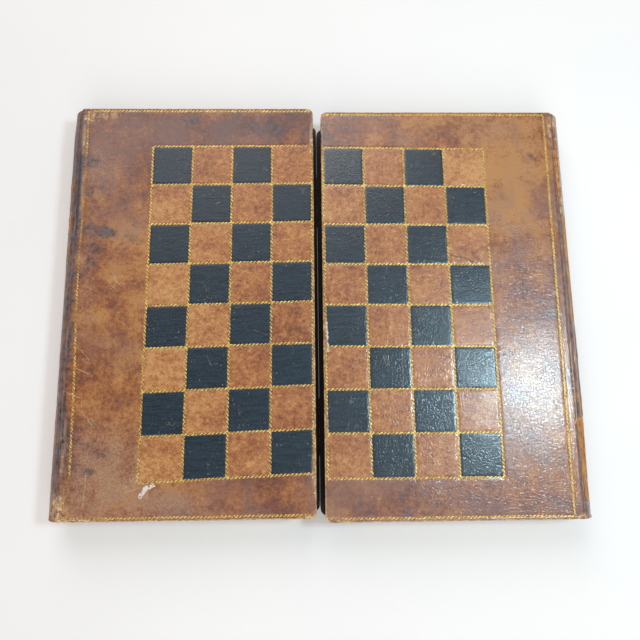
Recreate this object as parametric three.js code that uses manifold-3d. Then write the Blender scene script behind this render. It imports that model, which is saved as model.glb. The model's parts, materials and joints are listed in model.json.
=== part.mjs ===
// A folding games box made like two calf-bound volumes, hinged at their fore edges and lying open, covers up.
// Millimetres. X runs left to right across the open box, Y from tail to head, Z up from the table.
// The origin is on the table, in the middle of the open box's outline.
// One volume is built with its hinge line on the Y axis and its spine towards +X. The right volume stays so,
// and the left volume is the same one turned half round the Z axis. Both then move left by half the
// difference of their widths, which centres the outline.
import * as THREE from "three";
import { mergeVertices } from "three/addons/utils/BufferGeometryUtils.js";
import Module from "manifold-3d";

const wasm = await Module();
wasm.setup();

// Playing board on the covers
const squareSize = 38;
const filesPerCover = 4;
const ranks = 8;
const headMargin = 38;
const tailMargin = 35.5;
const foreMargin = 1.5;
const jointMargin = 65.9;

// The two volumes
const volumeThickness = 37;
const volumeShift = 3.5; // the left volume lies this much nearer the head
const widthDifference = 3.5; // the right cover is this much wider
const coverGap = 7.3; // between the two fore edges, on top
const spineBulge = 13.1; // past the cover's joint edge
const spineShoulder = 0.8; // from the cover's face down to the spine's edge

// Covers and leather
const boardThickness = 5.2;
const leatherThickness = 1.2;
const foreCornerRadius = 6;
const jointCornerRadius = 2.5;
const edgeRounding = 0.8;

// Tray walls and their facing
const wallThickness = 8;
const pageSheet = 1;
const pageRecess = 3.5; // from the cover's edge in to the leaves
const panelThickness = 2.5;
const liningThickness = 1;

// Lower board, made of four rails
const railThickness = 6;
const railInset = 2; // from the cover's edge in to the rail's, at head and tail
const railGap = 0.6; // between the two fore rails at the hinge line
const railCornerRadius = 6.5;

// Hinges
const knuckleRadius = 1.9;
const hingePinRadius = 0.7;
const hingeLength = 50;
const hingeInset = 78.75; // from the cover's end to the hinge's middle
const knucklesPerHinge = 5;
const leafWidth = 13; // from the hinge line to the leaf's edge
const leafThickness = 1.2;
const leafScrewsPerLeaf = 3;
const leafScrewEdge = 8.5; // from the leaf's end to its outer screw
const screwHeadRadius = 2;
const screwShankRadius = 0.9;
const screwLength = 5;
const screwSlotWidth = 0.5;
const screwSlotDepth = 0.4;
const pinHeadRadius = 1.2;
const pinHeadThickness = 0.8;

// Register pegs
const pegRadius = 1.8;
const pegSeat = 4; // how deep the peg stands in its rail
const pegInset = 16; // from the narrower volume's joint edge
const pegSocketClearance = 0.4;

// Catches
const hookLength = 20; // pivot to stud
const hookThickness = 1.4;
const hookEyeRadius = 3.2;
const hookEndRadius = 3.3;
const hookArmWidth = 2.8;
const hookTabLength = 2.5;
const hookTabWidth = 2;
const hookInset = 51; // from the narrower volume's joint edge to the pivot
const hookScrewRadius = 1;
const hookScrewSeat = 8;
const studRadius = 1.2;
const studSeat = 8;
const catchHeadRadius = 2.4;
const catchHeadThickness = 0.9;

// Clearances
const seat = 0.3; // between a piece and what carries it
const closingGap = 0.3; // between the two rims when shut
const tableGap = 0.3; // under a hook's end at rest
const overrun = 1; // how far a cutting shape runs past what it cuts
const smallestRadius = 0.2;

// Shares
const countersinkShare = 0.9; // of the leaf's thickness
const chamferShare = 0.35; // of a peg's or a head's radius
const leafRootShare = 0.6; // of the knuckle's radius

// Steps in a curve, where a drawn arc takes twice as many
const cornerSteps = 3;
const spineSteps = 10;
const roundSteps = 16;
const screwSteps = 12;

// Levels
const axisHeight = knuckleRadius;
const rimFace = axisHeight + closingGap / 2;
const railTop = rimFace + railThickness;
const coverTop = rimFace + volumeThickness;
const boardTop = coverTop - leatherThickness - seat;
const boardBottom = boardTop - boardThickness;
const wallBottom = railTop + seat;
const wallTop = boardBottom - seat;
const panelBottom = wallTop - panelThickness;
const liningTop = panelBottom - seat;
const railMiddle = rimFace + railThickness / 2;

// Places that both volumes share, measured from the hinge line or from the middle of the length
const coverLength = ranks * squareSize + headMargin + tailMargin;
const coverWidth = foreMargin + filesPerCover * squareSize + jointMargin;
const foreEdge = coverGap / 2;
const narrowJoint = foreEdge + coverWidth - widthDifference / 2;
const middle = -volumeShift / 2;
const coverEnd = coverLength / 2;
const pageEnd = coverEnd - pageRecess;
const wallEnd = pageEnd - pageSheet - seat;
const trayEnd = wallEnd - wallThickness;
const railEnd = coverEnd - railInset;
const hingeReach = coverEnd - hingeInset;
const pageFore = foreEdge + pageRecess;
const wallFore = pageFore + pageSheet + seat;
const trayFore = wallFore + wallThickness;
const pegReach = narrowJoint - pegInset;
const pegPlace = (trayEnd + railEnd) / 2;
const hookReach = narrowJoint - hookInset;

// The catch. When the box is shut the stud is as far below the hinge axis as the hook's pivot is above it.
const latchDrop = 2 * (railMiddle - axisHeight);
const latchTurn = Math.asin(latchDrop / hookLength);
const restTurn = Math.asin((railMiddle - hookEndRadius - tableGap) / hookLength);
const studReach = hookReach + hookLength * Math.cos(latchTurn);
const hookNear = railEnd + volumeShift / 2 + seat;
const hookFar = hookNear + hookThickness;
const catchHeadNear = hookFar + seat;

const volumes = [
  { name: "left", turn: Math.PI, hookEnd: "head", studEnd: "tail", width: coverWidth - widthDifference / 2 },
  { name: "right", turn: 0, hookEnd: "tail", studEnd: "head", width: coverWidth + widthDifference / 2 },
];

const finishes = {
  calf: { color: 0x9a7156, roughness: 0.5, metalness: 0 },
  spineCalf: { color: 0x8a5f45, roughness: 0.5, metalness: 0 },
  coverBoard: { color: 0x8b6b4a, roughness: 0.8, metalness: 0 },
  wall: { color: 0x6b4429, roughness: 0.6, metalness: 0 },
  rim: { color: 0x7a4f35, roughness: 0.55, metalness: 0 },
  leaves: { color: 0xd9c8a0, roughness: 0.85, metalness: 0 },
  panel: { color: 0xa07a4e, roughness: 0.7, metalness: 0 },
  lining: { color: 0x2f4a38, roughness: 0.6, metalness: 0 },
  brass: { color: 0xb08d4f, roughness: 0.35, metalness: 1 },
};

// Turns a closed geometry into a solid that can be joined and cut.
function solidOf(geometry) {
  const bare = geometry.clone();
  bare.deleteAttribute("normal");
  bare.deleteAttribute("uv");
  const merged = mergeVertices(bare);
  const triVerts = new Uint32Array(merged.index.array);
  const vertProperties = new Float32Array(merged.attributes.position.array);
  return new wasm.Manifold(new wasm.Mesh({ numProp: 3, vertProperties, triVerts }));
}

function geometryOf(solid) {
  const { vertProperties, triVerts } = solid.getMesh();
  const geometry = new THREE.BufferGeometry();
  geometry.setAttribute("position", new THREE.BufferAttribute(vertProperties, 3));
  geometry.setIndex(new THREE.BufferAttribute(triVerts, 1));
  const flat = geometry.toNonIndexed();
  flat.computeVertexNormals();
  return flat;
}

function cut(geometry, ...tools) {
  return geometryOf(tools.reduce((solid, tool) => solid.subtract(solidOf(tool)), solidOf(geometry)));
}

function join(geometry, ...others) {
  return geometryOf(others.reduce((solid, other) => solid.add(solidOf(other)), solidOf(geometry)));
}

function block([xLow, xHigh], [yLow, yHigh], [zLow, zHigh]) {
  const box = new THREE.BoxGeometry(xHigh - xLow, yHigh - yLow, zHigh - zLow);
  return box.translate((xLow + xHigh) / 2, (yLow + yHigh) / 2, (zLow + zHigh) / 2);
}

function slab(outline, [zLow, zHigh]) {
  const options = { depth: zHigh - zLow, bevelEnabled: false, curveSegments: cornerSteps };
  return new THREE.ExtrudeGeometry(outline, options).translate(0, 0, zLow);
}

// Extrudes an outline drawn in X and Z along Y.
function bar(outline, [yLow, yHigh], steps) {
  const options = { depth: yHigh - yLow, bevelEnabled: false, curveSegments: steps };
  return new THREE.ExtrudeGeometry(outline, options).rotateX(Math.PI / 2).translate(0, yHigh, 0);
}

// Turns a profile of [radius, place] pairs round the Y axis.
function turned(profile, steps) {
  const points = profile.map(([radius, place]) => new THREE.Vector2(radius, place));
  return new THREE.LatheGeometry(points, steps);
}

// Stands a piece made along Y on the Z axis.
function upright(geometry) {
  return geometry.rotateX(Math.PI / 2);
}

// A round bar along Y whose axis passes through x and z.
function rod(radius, [yLow, yHigh], x, z) {
  const cylinder = new THREE.CylinderGeometry(radius, radius, yHigh - yLow, roundSteps);
  return cylinder.translate(x, (yLow + yHigh) / 2, z);
}

// An upright round bar.
function post(radius, x, y, [zLow, zHigh], steps) {
  const cylinder = new THREE.CylinderGeometry(radius, radius, zHigh - zLow, steps);
  return upright(cylinder).translate(x, y, (zLow + zHigh) / 2);
}

// A board's outline, with one radius for its two corners at the fore edge and one for those at the joint.
function boardOutline([xLow, xHigh], [yLow, yHigh], foreRadius, jointRadius) {
  const outline = new THREE.Shape();
  outline.absarc(xLow + foreRadius, yLow + foreRadius, foreRadius, Math.PI, 1.5 * Math.PI);
  outline.absarc(xHigh - jointRadius, yLow + jointRadius, jointRadius, -Math.PI / 2, 0);
  outline.absarc(xHigh - jointRadius, yHigh - jointRadius, jointRadius, 0, Math.PI / 2);
  outline.absarc(xLow + foreRadius, yHigh - foreRadius, foreRadius, Math.PI / 2, Math.PI);
  outline.closePath();
  return outline;
}

function innerRadius(radius, inset) {
  return Math.max(radius - inset, smallestRadius);
}

function coverSpan(inset) {
  return [middle - coverEnd + inset, middle + coverEnd - inset];
}

function coverBoard(joint) {
  const inset = leatherThickness + seat;
  const foreRadius = innerRadius(foreCornerRadius, inset);
  const jointRadius = innerRadius(jointCornerRadius, inset);
  const outline = boardOutline([foreEdge + inset, joint], coverSpan(inset), foreRadius, jointRadius);
  return slab(outline, [boardBottom, boardTop]);
}

// The skin lies on the board and is turned down over its fore edge, head and tail.
function coverLeather(joint) {
  const rounding = { bevelThickness: edgeRounding, bevelSize: edgeRounding, bevelOffset: -edgeRounding };
  const depth = coverTop - boardBottom;
  const options = { ...rounding, depth, bevelSegments: 2, curveSegments: cornerSteps };
  const outline = boardOutline([foreEdge, joint], coverSpan(0), foreCornerRadius, jointCornerRadius);
  const skin = new THREE.ExtrudeGeometry(outline, options).translate(0, 0, boardBottom - edgeRounding);
  const room = boardOutline(
    [foreEdge + leatherThickness, joint + overrun],
    coverSpan(leatherThickness),
    innerRadius(foreCornerRadius, leatherThickness),
    innerRadius(jointCornerRadius, leatherThickness),
  );
  const below = block(
    [foreEdge - overrun, joint + overrun],
    coverSpan(-overrun),
    [boardBottom - 2 * edgeRounding - overrun, boardBottom],
  );
  return cut(skin, slab(room, [boardBottom - overrun, coverTop - leatherThickness]), below);
}

function endWall(joint, toHead) {
  const near = toHead ? middle + trayEnd : middle - wallEnd;
  return block([wallFore, joint], [near, near + wallThickness], [wallBottom, wallTop]);
}

function sideWall(xLow) {
  const span = [middle - trayEnd + seat, middle + trayEnd - seat];
  return block([xLow, xLow + wallThickness], span, [wallBottom, wallTop]);
}

// One strip of facing, bent round the head, the fore edge and the tail.
function pageEdges(joint) {
  const outside = block([pageFore, joint], [middle - pageEnd, middle + pageEnd], [wallBottom, wallTop]);
  const innerEnd = pageEnd - pageSheet;
  const inside = block(
    [pageFore + pageSheet, joint + overrun],
    [middle - innerEnd, middle + innerEnd],
    [wallBottom - overrun, wallTop + overrun],
  );
  return cut(outside, inside);
}

// The rail's corner at the hinge line is rounded. Towards the head the peg stands in it, towards the tail is
// the socket for the other volume's peg.
function endRail(joint, toHead) {
  const low = toHead ? middle + trayEnd : middle - railEnd;
  const high = low + railEnd - trayEnd;
  const corner = railGap / 2 + railCornerRadius;
  const outline = new THREE.Shape();
  if (toHead) {
    outline.moveTo(railGap / 2, low);
    outline.lineTo(joint, low);
    outline.lineTo(joint, high);
    outline.absarc(corner, high - railCornerRadius, railCornerRadius, Math.PI / 2, Math.PI);
  } else {
    outline.absarc(corner, low + railCornerRadius, railCornerRadius, Math.PI, 1.5 * Math.PI);
    outline.lineTo(joint, low);
    outline.lineTo(joint, high);
    outline.lineTo(railGap / 2, high);
  }
  outline.closePath();
  const rail = slab(outline, [rimFace, railTop]);
  return toHead ? cut(rail, pegHole(), studHole()) : cut(rail, pegSocket(), hookScrewHole());
}

function pegHole() {
  const depth = [rimFace - overrun, rimFace + pegSeat + seat];
  return post(pegRadius + seat, pegReach, pegPlace, depth, roundSteps);
}

function pegSocket() {
  const depth = [rimFace - overrun, rimFace + rimFace - closingGap + seat];
  return post(pegRadius + pegSocketClearance, pegReach, -pegPlace, depth, roundSteps);
}

function hookScrewHole() {
  const outside = middle - railEnd;
  const span = [outside - overrun, outside + hookScrewSeat + seat];
  return rod(hookScrewRadius + seat, span, hookReach, railMiddle);
}

function studHole() {
  const outside = middle + railEnd;
  return rod(studRadius + seat, [outside - studSeat - seat, outside + overrun], studReach, railMiddle);
}

function hingePlaces() {
  return [-hingeReach, hingeReach];
}

function leafScrewPlaces() {
  const first = leafScrewEdge - hingeLength / 2;
  const spacing = (-2 * first) / (leafScrewsPerLeaf - 1);
  return Array.from({ length: leafScrewsPerLeaf }, (_, index) => first + index * spacing);
}

// The middle of the leaf between the knuckle and its outer edge.
function leafScrewReach() {
  return (knuckleRadius + leafWidth) / 2;
}

// The fore rail is cut for each leaf, for the knuckles, the pin's heads and the screws.
function foreRail() {
  const span = [middle - trayEnd + seat, middle + trayEnd - seat];
  const rail = block([railGap / 2, trayFore], span, [rimFace, railTop]);
  const tools = hingePlaces().flatMap((place) => {
    const halfLeaf = hingeLength / 2 + seat;
    const halfPin = hingeLength / 2 + pinHeadThickness + 2 * seat;
    const depth = [rimFace - overrun, rimFace + leafThickness + seat];
    const pocket = block([0, leafWidth + seat], [place - halfLeaf, place + halfLeaf], depth);
    const groove = rod(knuckleRadius + seat, [place - halfPin, place + halfPin], 0, axisHeight);
    const screwDepth = [rimFace, rimFace + screwLength + seat];
    const holes = leafScrewPlaces().map((offset) =>
      post(screwShankRadius + seat, leafScrewReach(), place + offset, screwDepth, screwSteps),
    );
    return [pocket, groove, ...holes];
  });
  return cut(rail, ...tools);
}

function spineRail(joint) {
  const span = [middle - trayEnd + seat, middle + trayEnd - seat];
  return block([joint - wallThickness, joint], span, [rimFace, railTop]);
}

function trayPlate(joint, [zLow, zHigh]) {
  const across = [trayFore + seat, joint - wallThickness - seat];
  const along = [middle - trayEnd + seat, middle + trayEnd - seat];
  return block(across, along, [zLow, zHigh]);
}

// The spine's section is an arc that stands on the joint edge and bulges past it.
function spineArc(joint) {
  const halfChord = volumeThickness / 2 - spineShoulder;
  const radius = (halfChord ** 2 + spineBulge ** 2) / (2 * spineBulge);
  return { radius, x: joint + spineBulge - radius, z: rimFace + volumeThickness / 2 };
}

function spineLeather(joint) {
  const { radius, x, z } = spineArc(joint);
  const inner = radius - leatherThickness;
  const outerTurn = Math.acos((joint + seat - x) / radius);
  const innerTurn = Math.acos((joint + seat - x) / inner);
  const section = new THREE.Shape();
  section.absarc(x, z, radius, -outerTurn, outerTurn);
  section.absarc(x, z, inner, innerTurn, -innerTurn, true);
  section.closePath();
  return bar(section, coverSpan(0), spineSteps);
}

function spineCore(joint) {
  const { radius, x, z } = spineArc(joint);
  const core = radius - leatherThickness - seat;
  const turn = Math.acos((joint + seat - x) / core);
  const section = new THREE.Shape();
  section.absarc(x, z, core, -turn, turn);
  section.closePath();
  return bar(section, coverSpan(leatherThickness), spineSteps);
}

function registerPeg() {
  const chamfer = pegRadius * chamferShare;
  const top = rimFace + pegSeat;
  const profile = [
    [0, 0],
    [pegRadius - chamfer, 0],
    [pegRadius, chamfer],
    [pegRadius, top - chamfer],
    [pegRadius - chamfer, top],
    [0, top],
  ];
  return upright(turned(profile, roundSteps)).translate(pegReach, pegPlace, 0);
}

// The knuckles share the hinge's length. The left leaf has the first, the third and so on.
function knuckleSpans(place, odd) {
  const pitch = hingeLength / knucklesPerHinge;
  const first = place - hingeLength / 2;
  const indices = Array.from({ length: knucklesPerHinge }, (_, index) => index);
  const own = indices.filter((index) => (index % 2 === 1) === odd);
  return own.map((index) => [first + index * pitch + seat / 2, first + (index + 1) * pitch - seat / 2]);
}

function hingeLeaf(place, odd) {
  const span = [place - hingeLength / 2 + seat / 2, place + hingeLength / 2 - seat / 2];
  const leaf = [rimFace, rimFace + leafThickness];
  const plate = block([knuckleRadius * leafRootShare, leafWidth], span, leaf);
  const knuckles = knuckleSpans(place, odd).map((own) => rod(knuckleRadius, own, 0, axisHeight));
  const around = [0, knuckleRadius + seat];
  const through = [rimFace - overrun, rimFace + leafThickness + overrun];
  const notches = knuckleSpans(place, !odd).map(([low, high]) =>
    block(around, [low - seat, high + seat], through),
  );
  const bore = rod(hingePinRadius + seat, [span[0] - overrun, span[1] + overrun], 0, axisHeight);
  const holes = leafScrewPlaces().map((offset) =>
    upright(turned(countersink(), screwSteps)).translate(leafScrewReach(), place + offset, rimFace),
  );
  return cut(join(cut(plate, ...notches), ...knuckles), bore, ...holes);
}

// The room for a screw in its leaf: the screw's own outline and a clearance.
function countersink() {
  const depth = leafThickness * countersinkShare;
  return [
    [0, -overrun],
    [screwHeadRadius + seat, -overrun],
    [screwHeadRadius + seat, 0],
    [screwShankRadius + seat, depth],
    [screwShankRadius + seat, leafThickness + overrun],
    [0, leafThickness + overrun],
  ];
}

function hingeScrew(place, offset) {
  const depth = leafThickness * countersinkShare;
  const profile = [
    [0, 0],
    [screwHeadRadius, 0],
    [screwShankRadius, depth],
    [screwShankRadius, screwLength - screwShankRadius],
    [0, screwLength],
  ];
  const halfSlot = screwSlotWidth / 2;
  const across = screwHeadRadius + overrun;
  const slot = block([-halfSlot, halfSlot], [-across, across], [-overrun, screwSlotDepth]);
  const screw = cut(upright(turned(profile, screwSteps)), slot);
  return screw.translate(leafScrewReach(), place + offset, rimFace);
}

function hingePin(place) {
  const end = hingeLength / 2 + seat;
  const chamfer = pinHeadRadius * chamferShare;
  const profile = [
    [0, -end - pinHeadThickness],
    [pinHeadRadius - chamfer, -end - pinHeadThickness],
    [pinHeadRadius, -end - pinHeadThickness + chamfer],
    [pinHeadRadius, -end],
    [hingePinRadius, -end],
    [hingePinRadius, end],
    [pinHeadRadius, end],
    [pinHeadRadius, end + pinHeadThickness - chamfer],
    [pinHeadRadius - chamfer, end + pinHeadThickness],
    [0, end + pinHeadThickness],
  ];
  return turned(profile, screwSteps).translate(0, place, axisHeight);
}

// A round-headed brass pin along Y, from its inner end out to its head.
function headedPin(radius, inner) {
  const chamfer = catchHeadThickness * chamferShare;
  const outer = catchHeadNear + catchHeadThickness;
  const profile = [
    [0, inner],
    [radius, inner],
    [radius, catchHeadNear],
    [catchHeadRadius, catchHeadNear],
    [catchHeadRadius, outer - chamfer],
    [catchHeadRadius - chamfer, outer],
    [0, outer],
  ];
  return turned(profile, roundSteps);
}

function catchStud() {
  return headedPin(studRadius, middle + railEnd - studSeat).translate(studReach, 0, railMiddle);
}

function catchScrew() {
  const inner = railEnd - middle - hookScrewSeat;
  return headedPin(hookScrewRadius, inner).rotateZ(Math.PI).translate(hookReach, 0, railMiddle);
}

// The hook is drawn with its pivot on the Y axis and its arm along X. The slot in its end opens downwards.
function catchHook() {
  const thick = [-hookFar, -hookNear];
  const through = [-hookFar - overrun, -hookNear + overrun];
  const halfArm = hookArmWidth / 2;
  const slotRadius = studRadius + seat;
  const arm = block([0, hookLength], thick, [-halfArm, halfArm]);
  const eye = rod(hookEyeRadius, thick, 0, 0);
  const end = rod(hookEndRadius, thick, hookLength, 0);
  const tip = hookLength + hookEndRadius + hookTabLength;
  const tab = block([hookLength, tip], thick, [hookEndRadius - hookTabWidth, hookEndRadius]);
  const slotSides = [hookLength - slotRadius, hookLength + slotRadius];
  const slot = block(slotSides, through, [-hookEndRadius - overrun, 0]);
  const slotRound = rod(slotRadius, through, hookLength, 0);
  const pivot = rod(hookScrewRadius + seat, through, 0, 0);
  return cut(join(arm, eye, end, tab), slot, slotRound, pivot);
}

function piece(name, geometry, finish) {
  const mesh = new THREE.Mesh(geometry, new THREE.MeshStandardMaterial(finishes[finish]));
  mesh.name = name;
  return mesh;
}

function makeVolume({ name, turn, hookEnd, studEnd, width }) {
  const joint = foreEdge + width;
  const group = new THREE.Group();
  const odd = name === "right";
  group.add(
    piece(`${name}_cover_board`, coverBoard(joint), "coverBoard"),
    piece(`${name}_cover_leather`, coverLeather(joint), "calf"),
    piece(`${name}_${studEnd}_wall`, endWall(joint, true), "wall"),
    piece(`${name}_${hookEnd}_wall`, endWall(joint, false), "wall"),
    piece(`${name}_fore_wall`, sideWall(wallFore), "wall"),
    piece(`${name}_spine_wall`, sideWall(joint - wallThickness), "wall"),
    piece(`${name}_page_edges`, pageEdges(joint), "leaves"),
    piece(`${name}_${studEnd}_rail`, endRail(joint, true), "rim"),
    piece(`${name}_${hookEnd}_rail`, endRail(joint, false), "rim"),
    piece(`${name}_fore_rail`, foreRail(), "rim"),
    piece(`${name}_spine_rail`, spineRail(joint), "rim"),
    piece(`${name}_play_panel`, trayPlate(joint, [panelBottom, wallTop]), "panel"),
    piece(`${name}_play_lining`, trayPlate(joint, [liningTop - liningThickness, liningTop]), "lining"),
    piece(`${name}_spine_core`, spineCore(joint), "coverBoard"),
    piece(`${name}_spine_leather`, spineLeather(joint), "spineCalf"),
    piece(`${name}_register_peg`, registerPeg(), "brass"),
    piece(`${studEnd}_catch_stud`, catchStud(), "brass"),
    piece(`${hookEnd}_catch_screw`, catchScrew(), "brass"),
  );
  const hook = piece(`${hookEnd}_catch_hook`, catchHook(), "brass");
  hook.position.set(hookReach, 0, railMiddle);
  hook.rotation.y = restTurn;
  group.add(hook);
  for (const place of hingePlaces()) {
    const hinge = `${place > 0 ? studEnd : hookEnd}_hinge`;
    group.add(piece(`${hinge}_${name}_leaf`, hingeLeaf(place, odd), "brass"));
    leafScrewPlaces().forEach((offset, index) => {
      group.add(piece(`${hinge}_${name}_screw_${index + 1}`, hingeScrew(place, offset), "brass"));
    });
  }
  group.rotation.z = turn;
  return group;
}

function makeBox() {
  const open = new THREE.Group();
  open.add(...volumes.map(makeVolume));
  open.add(piece("head_hinge_pin", hingePin(hingeReach), "brass"));
  open.add(piece("tail_hinge_pin", hingePin(-hingeReach), "brass"));
  open.position.x = -widthDifference / 2;
  const box = new THREE.Group();
  box.add(open);
  return box;
}

export default makeBox();
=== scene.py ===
"""Dresses the folding games box, two calf-bound volumes lying open with their covers up.

Metres. X runs left to right across the open box, Y from tail to head, Z up from the table. The packed model
is the frame: its nodes keep their places, and every new piece rides on one of its bodies.

A volume is worked out in its own measures: `across` runs from the hinge line to the spine and `along` runs the
length of the volume. The left volume is the right one turned half round the upright axis.
"""
import json
import math
import random

import bmesh
import bpy
from mathutils import Matrix, Vector, noise


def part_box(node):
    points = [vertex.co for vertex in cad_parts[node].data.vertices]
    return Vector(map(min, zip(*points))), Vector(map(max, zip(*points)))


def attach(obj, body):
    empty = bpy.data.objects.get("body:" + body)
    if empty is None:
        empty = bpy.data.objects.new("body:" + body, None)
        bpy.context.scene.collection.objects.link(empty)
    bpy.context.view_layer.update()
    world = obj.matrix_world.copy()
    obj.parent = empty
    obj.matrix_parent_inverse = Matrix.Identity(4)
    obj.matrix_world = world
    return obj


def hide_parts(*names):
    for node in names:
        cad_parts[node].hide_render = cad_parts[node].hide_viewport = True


bl_info = {
    "name": "Book-Shaped Games Box",
    "version": (1, 0, 0),
    "blender": (4, 5, 0),
    "location": "View3D > Sidebar > Games Box",
    "description": "Dresses the packed games box in calf, gold tooling, leaf edges, walnut and brass",
    "category": "Object",
}

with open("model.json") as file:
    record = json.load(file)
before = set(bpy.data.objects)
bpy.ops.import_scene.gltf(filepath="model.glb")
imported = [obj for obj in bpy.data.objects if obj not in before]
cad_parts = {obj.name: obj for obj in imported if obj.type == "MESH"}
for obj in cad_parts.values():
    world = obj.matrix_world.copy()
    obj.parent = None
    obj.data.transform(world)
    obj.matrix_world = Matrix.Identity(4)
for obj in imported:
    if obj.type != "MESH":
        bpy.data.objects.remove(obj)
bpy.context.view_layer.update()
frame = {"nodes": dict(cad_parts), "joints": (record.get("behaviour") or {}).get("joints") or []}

HINGE_X = next(joint["pos_m"][0] for joint in frame["joints"] if joint["name"] == "volume_fold")
SIDES = ("left", "right")
ENDS = ("head", "tail")
FILES = 4
RANKS = 8
POINTS = 6
# How far the spine's leather stands off the joint of the cover.
SEAT = 0.0003
# Half the width of a tooled line's groove at its bottom and at its top.
GROOVE_FLOOR, GROOVE_TOP = 0.0007, 0.0011
# The covers' soft unevenness, as the scale, the share and the height of each of its two waves.
WAVES = ((22, 1.0, 0.3), (75, 0.45, 2.1))
WAVE_REACH = 1.45
# The skin's steps across and down into the joint, and how far past the joint it comes out on the round.
JOINT_STEPS = ((0.0004, 0.0002), (0.0003, 0.0009), (0.0003, 0.0003), (0.0004, -0.0004))
ROUND_START = 0.0022
TEAR_DEPTH = 0.0005
MOST_HOLLOW = 0.0012
# The length of a spine's worn end and of the slope down to it.
WORN_ENDS = {"left": (0.03, 0.028), "right": (0.1, 0.09)}
# How strong the flecks, the darkening from grime and painted shade, and the rubbed band are on each spine.
SPINE_WEAR = {"left": (0.25, 0.62, 0.8), "right": (0.15, 0.5, 0.3)}
CAP_THICKNESS = 0.0008
FACING_THICKNESS = 0.0007
# How far the calf is drawn in from the board and the round, so that no two faces lie in one plane.
TUCK = 0.0001
# How far below the lining the gold edging begins. The points begin twice as far below it.
INLAY_STEP = 0.00001
# How far from the end of the tray the playing points start.
POINT_MARGIN = 0.001
# How far a tooled line strays at a crossing, and where the lines at the ends begin from the fore edge.
CROSSING_SPREAD = 0.0002
LINE_START = 0.002

# The tooled board's corners on each cover, as (x, y) in the frame. Each pair is the corner at the fore edge and
# the one towards the spine, first at the volume's near end and then at its far end.
BOARD_CORNERS = {
    "left": (((-0.0069, 0.1519), (-0.1557, 0.1513)), ((-0.0075, -0.1496), (-0.1571, -0.1558))),
    "right": (((0.0044, -0.1545), (0.1563, -0.1549)), ((0.0038, 0.1504), (0.1559, 0.1484))),
}


def in_metres(count, *rows):
    """Rows that begin with so many sizes in millimetres, with those sizes in metres."""
    return [(*(size / 1000 for size in row[:count]), *row[count:]) for row in rows]


def on_spine(*rows):
    """Marks on the round of the spine, as the ends along y in millimetres, the turn up from the level and half
    the width on the round in degrees, and how strong or how high each is."""
    marks = in_metres(2, *rows)
    return [(low, high, math.radians(turn), math.radians(half), most) for low, high, turn, half, most in marks]


# Wear on the covers: x, y and the spot's reach each way in millimetres, and its strength.
RUBBED_SPOTS = in_metres(
    4,
    (-225, -178, 13, 22, 0.66), (-222.5, -125, 5, 50, 0.42), (-208, -187, 36, 5, 0.9), (-223.5, -187, 12, 8, 0.85),
    (-217, 181, 16, 9, 0.52), (-203, 183.5, 28, 7, 0.5), (-221.5, 160, 3, 30, 0.5), (-220, 100, 3, 50, 0.42),
    (-163, -157, 10, 10, 0.4), (-150, -163, 5, 9, 0.5), (-8, 190, 7, 4, 0.75), (-10, -186, 12, 4, 0.85),
    (3, 186, 4, 6, 0.7), (8, -189, 12, 4, 0.8), (222.5, 176, 4, 14, 0.6), (222, -190, 7, 6, 0.7),
    (3, -30, 4, 20, 0.75), (3, -110, 2.5, 40, 0.6), (-6.5, 155, 3.5, 30, 0.6), (-7.5, -150, 3, 30, 0.55),
    (222, 163, 3.5, 18, 0.62), (-187, 22, 10, 9, 0.3), (-214, 2, 10, 8, 0.3),
)
# Stains, in the same way.
DARK_SPOTS = in_metres(
    4,
    (-212, 135, 12, 9, 0.66), (-203, 112, 6, 6, 0.5), (-208, 120, 9, 8, 0.4), (-211, 98, 9, 26, 0.5),
    (-208, 70, 12, 8, 0.7), (-197, 67, 12, 9, 0.8), (-207, 48, 10, 24, 0.45), (-184, 104, 8, 10, 0.35),
    (-223, 110, 4.8, 100, 0.95), (-222.5, -30, 4, 60, 0.75), (-222.5, -110, 3.5, 40, 0.5), (-224, 176, 6, 18, 0.8),
    (-122, 178, 18, 6, 0.5), (-50, 171, 34, 14, 0.45), (-12, 158, 11, 24, 0.35), (-60, 186, 70, 4, 0.35),
    (-196, -106, 12, 7, 0.5), (-203, -124, 11, 6, 0.62), (-190, -131, 14, 6, 0.55), (-201, -146, 13, 6, 0.6),
    (-166, -150, 12, 9, 0.35), (-172, -168, 14, 8, 0.35), (-206, -14, 9, 8, 0.35), (-100, -178, 60, 5, 0.3),
    (-60, -176, 50, 10, 0.25), (231, -62, 4, 45, 0.9), (201, 140, 14, 7, 0.4), (183, 110, 11, 10, 0.3),
    (213, 112, 5, 20, 0.25), (166, 29, 11, 5, 0.3), (80, -181, 50, 5, 0.3), (180, -178, 40, 7, 0.3),
)
# Bloom that lies over the varnish, in the same way.
HAZE_SPOTS = in_metres(
    4,
    (-190, -150, 45, 50, 0.5), (-145, -176, 60, 14, 0.4), (-205, 130, 18, 35, 0.25), (-212, 20, 10, 50, 0.2),
    (160, 168, 45, 16, 0.2), (196, 135, 20, 35, 0.12),
)
# Broad lighter and darker patches in the calf, with how much lighter each makes it: partly the calf's own mottling
# and partly painted light and shade.
SHADES = in_metres(
    4,
    (-60, 172, 60, 18, -0.9), (-95, 170, 45, 18, -0.45), (-205, 120, 13, 16, -0.35), (-185, 155, 50, 35, -0.4),
    (-175, 75, 26, 45, 0.55), (-208, 6, 13, 12, -0.6), (-180, 18, 32, 16, -0.35), (-190, -112, 36, 42, 0.7),
    (-180, -165, 48, 22, 0.95), (-100, -172, 60, 12, 0.4), (-130, -20, 40, 110, 0.65), (-32, -35, 34, 50, -0.6),
    (150, 168, 55, 20, 0.5), (192, 130, 45, 32, 1.1), (185, 85, 34, 24, 0.95), (196, 168, 22, 18, 0.9),
    (138, 120, 30, 45, 0.5), (188, 12, 32, 30, -0.4), (57, -176, 35, 14, -0.4), (150, -178, 60, 16, -0.45),
)
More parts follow.
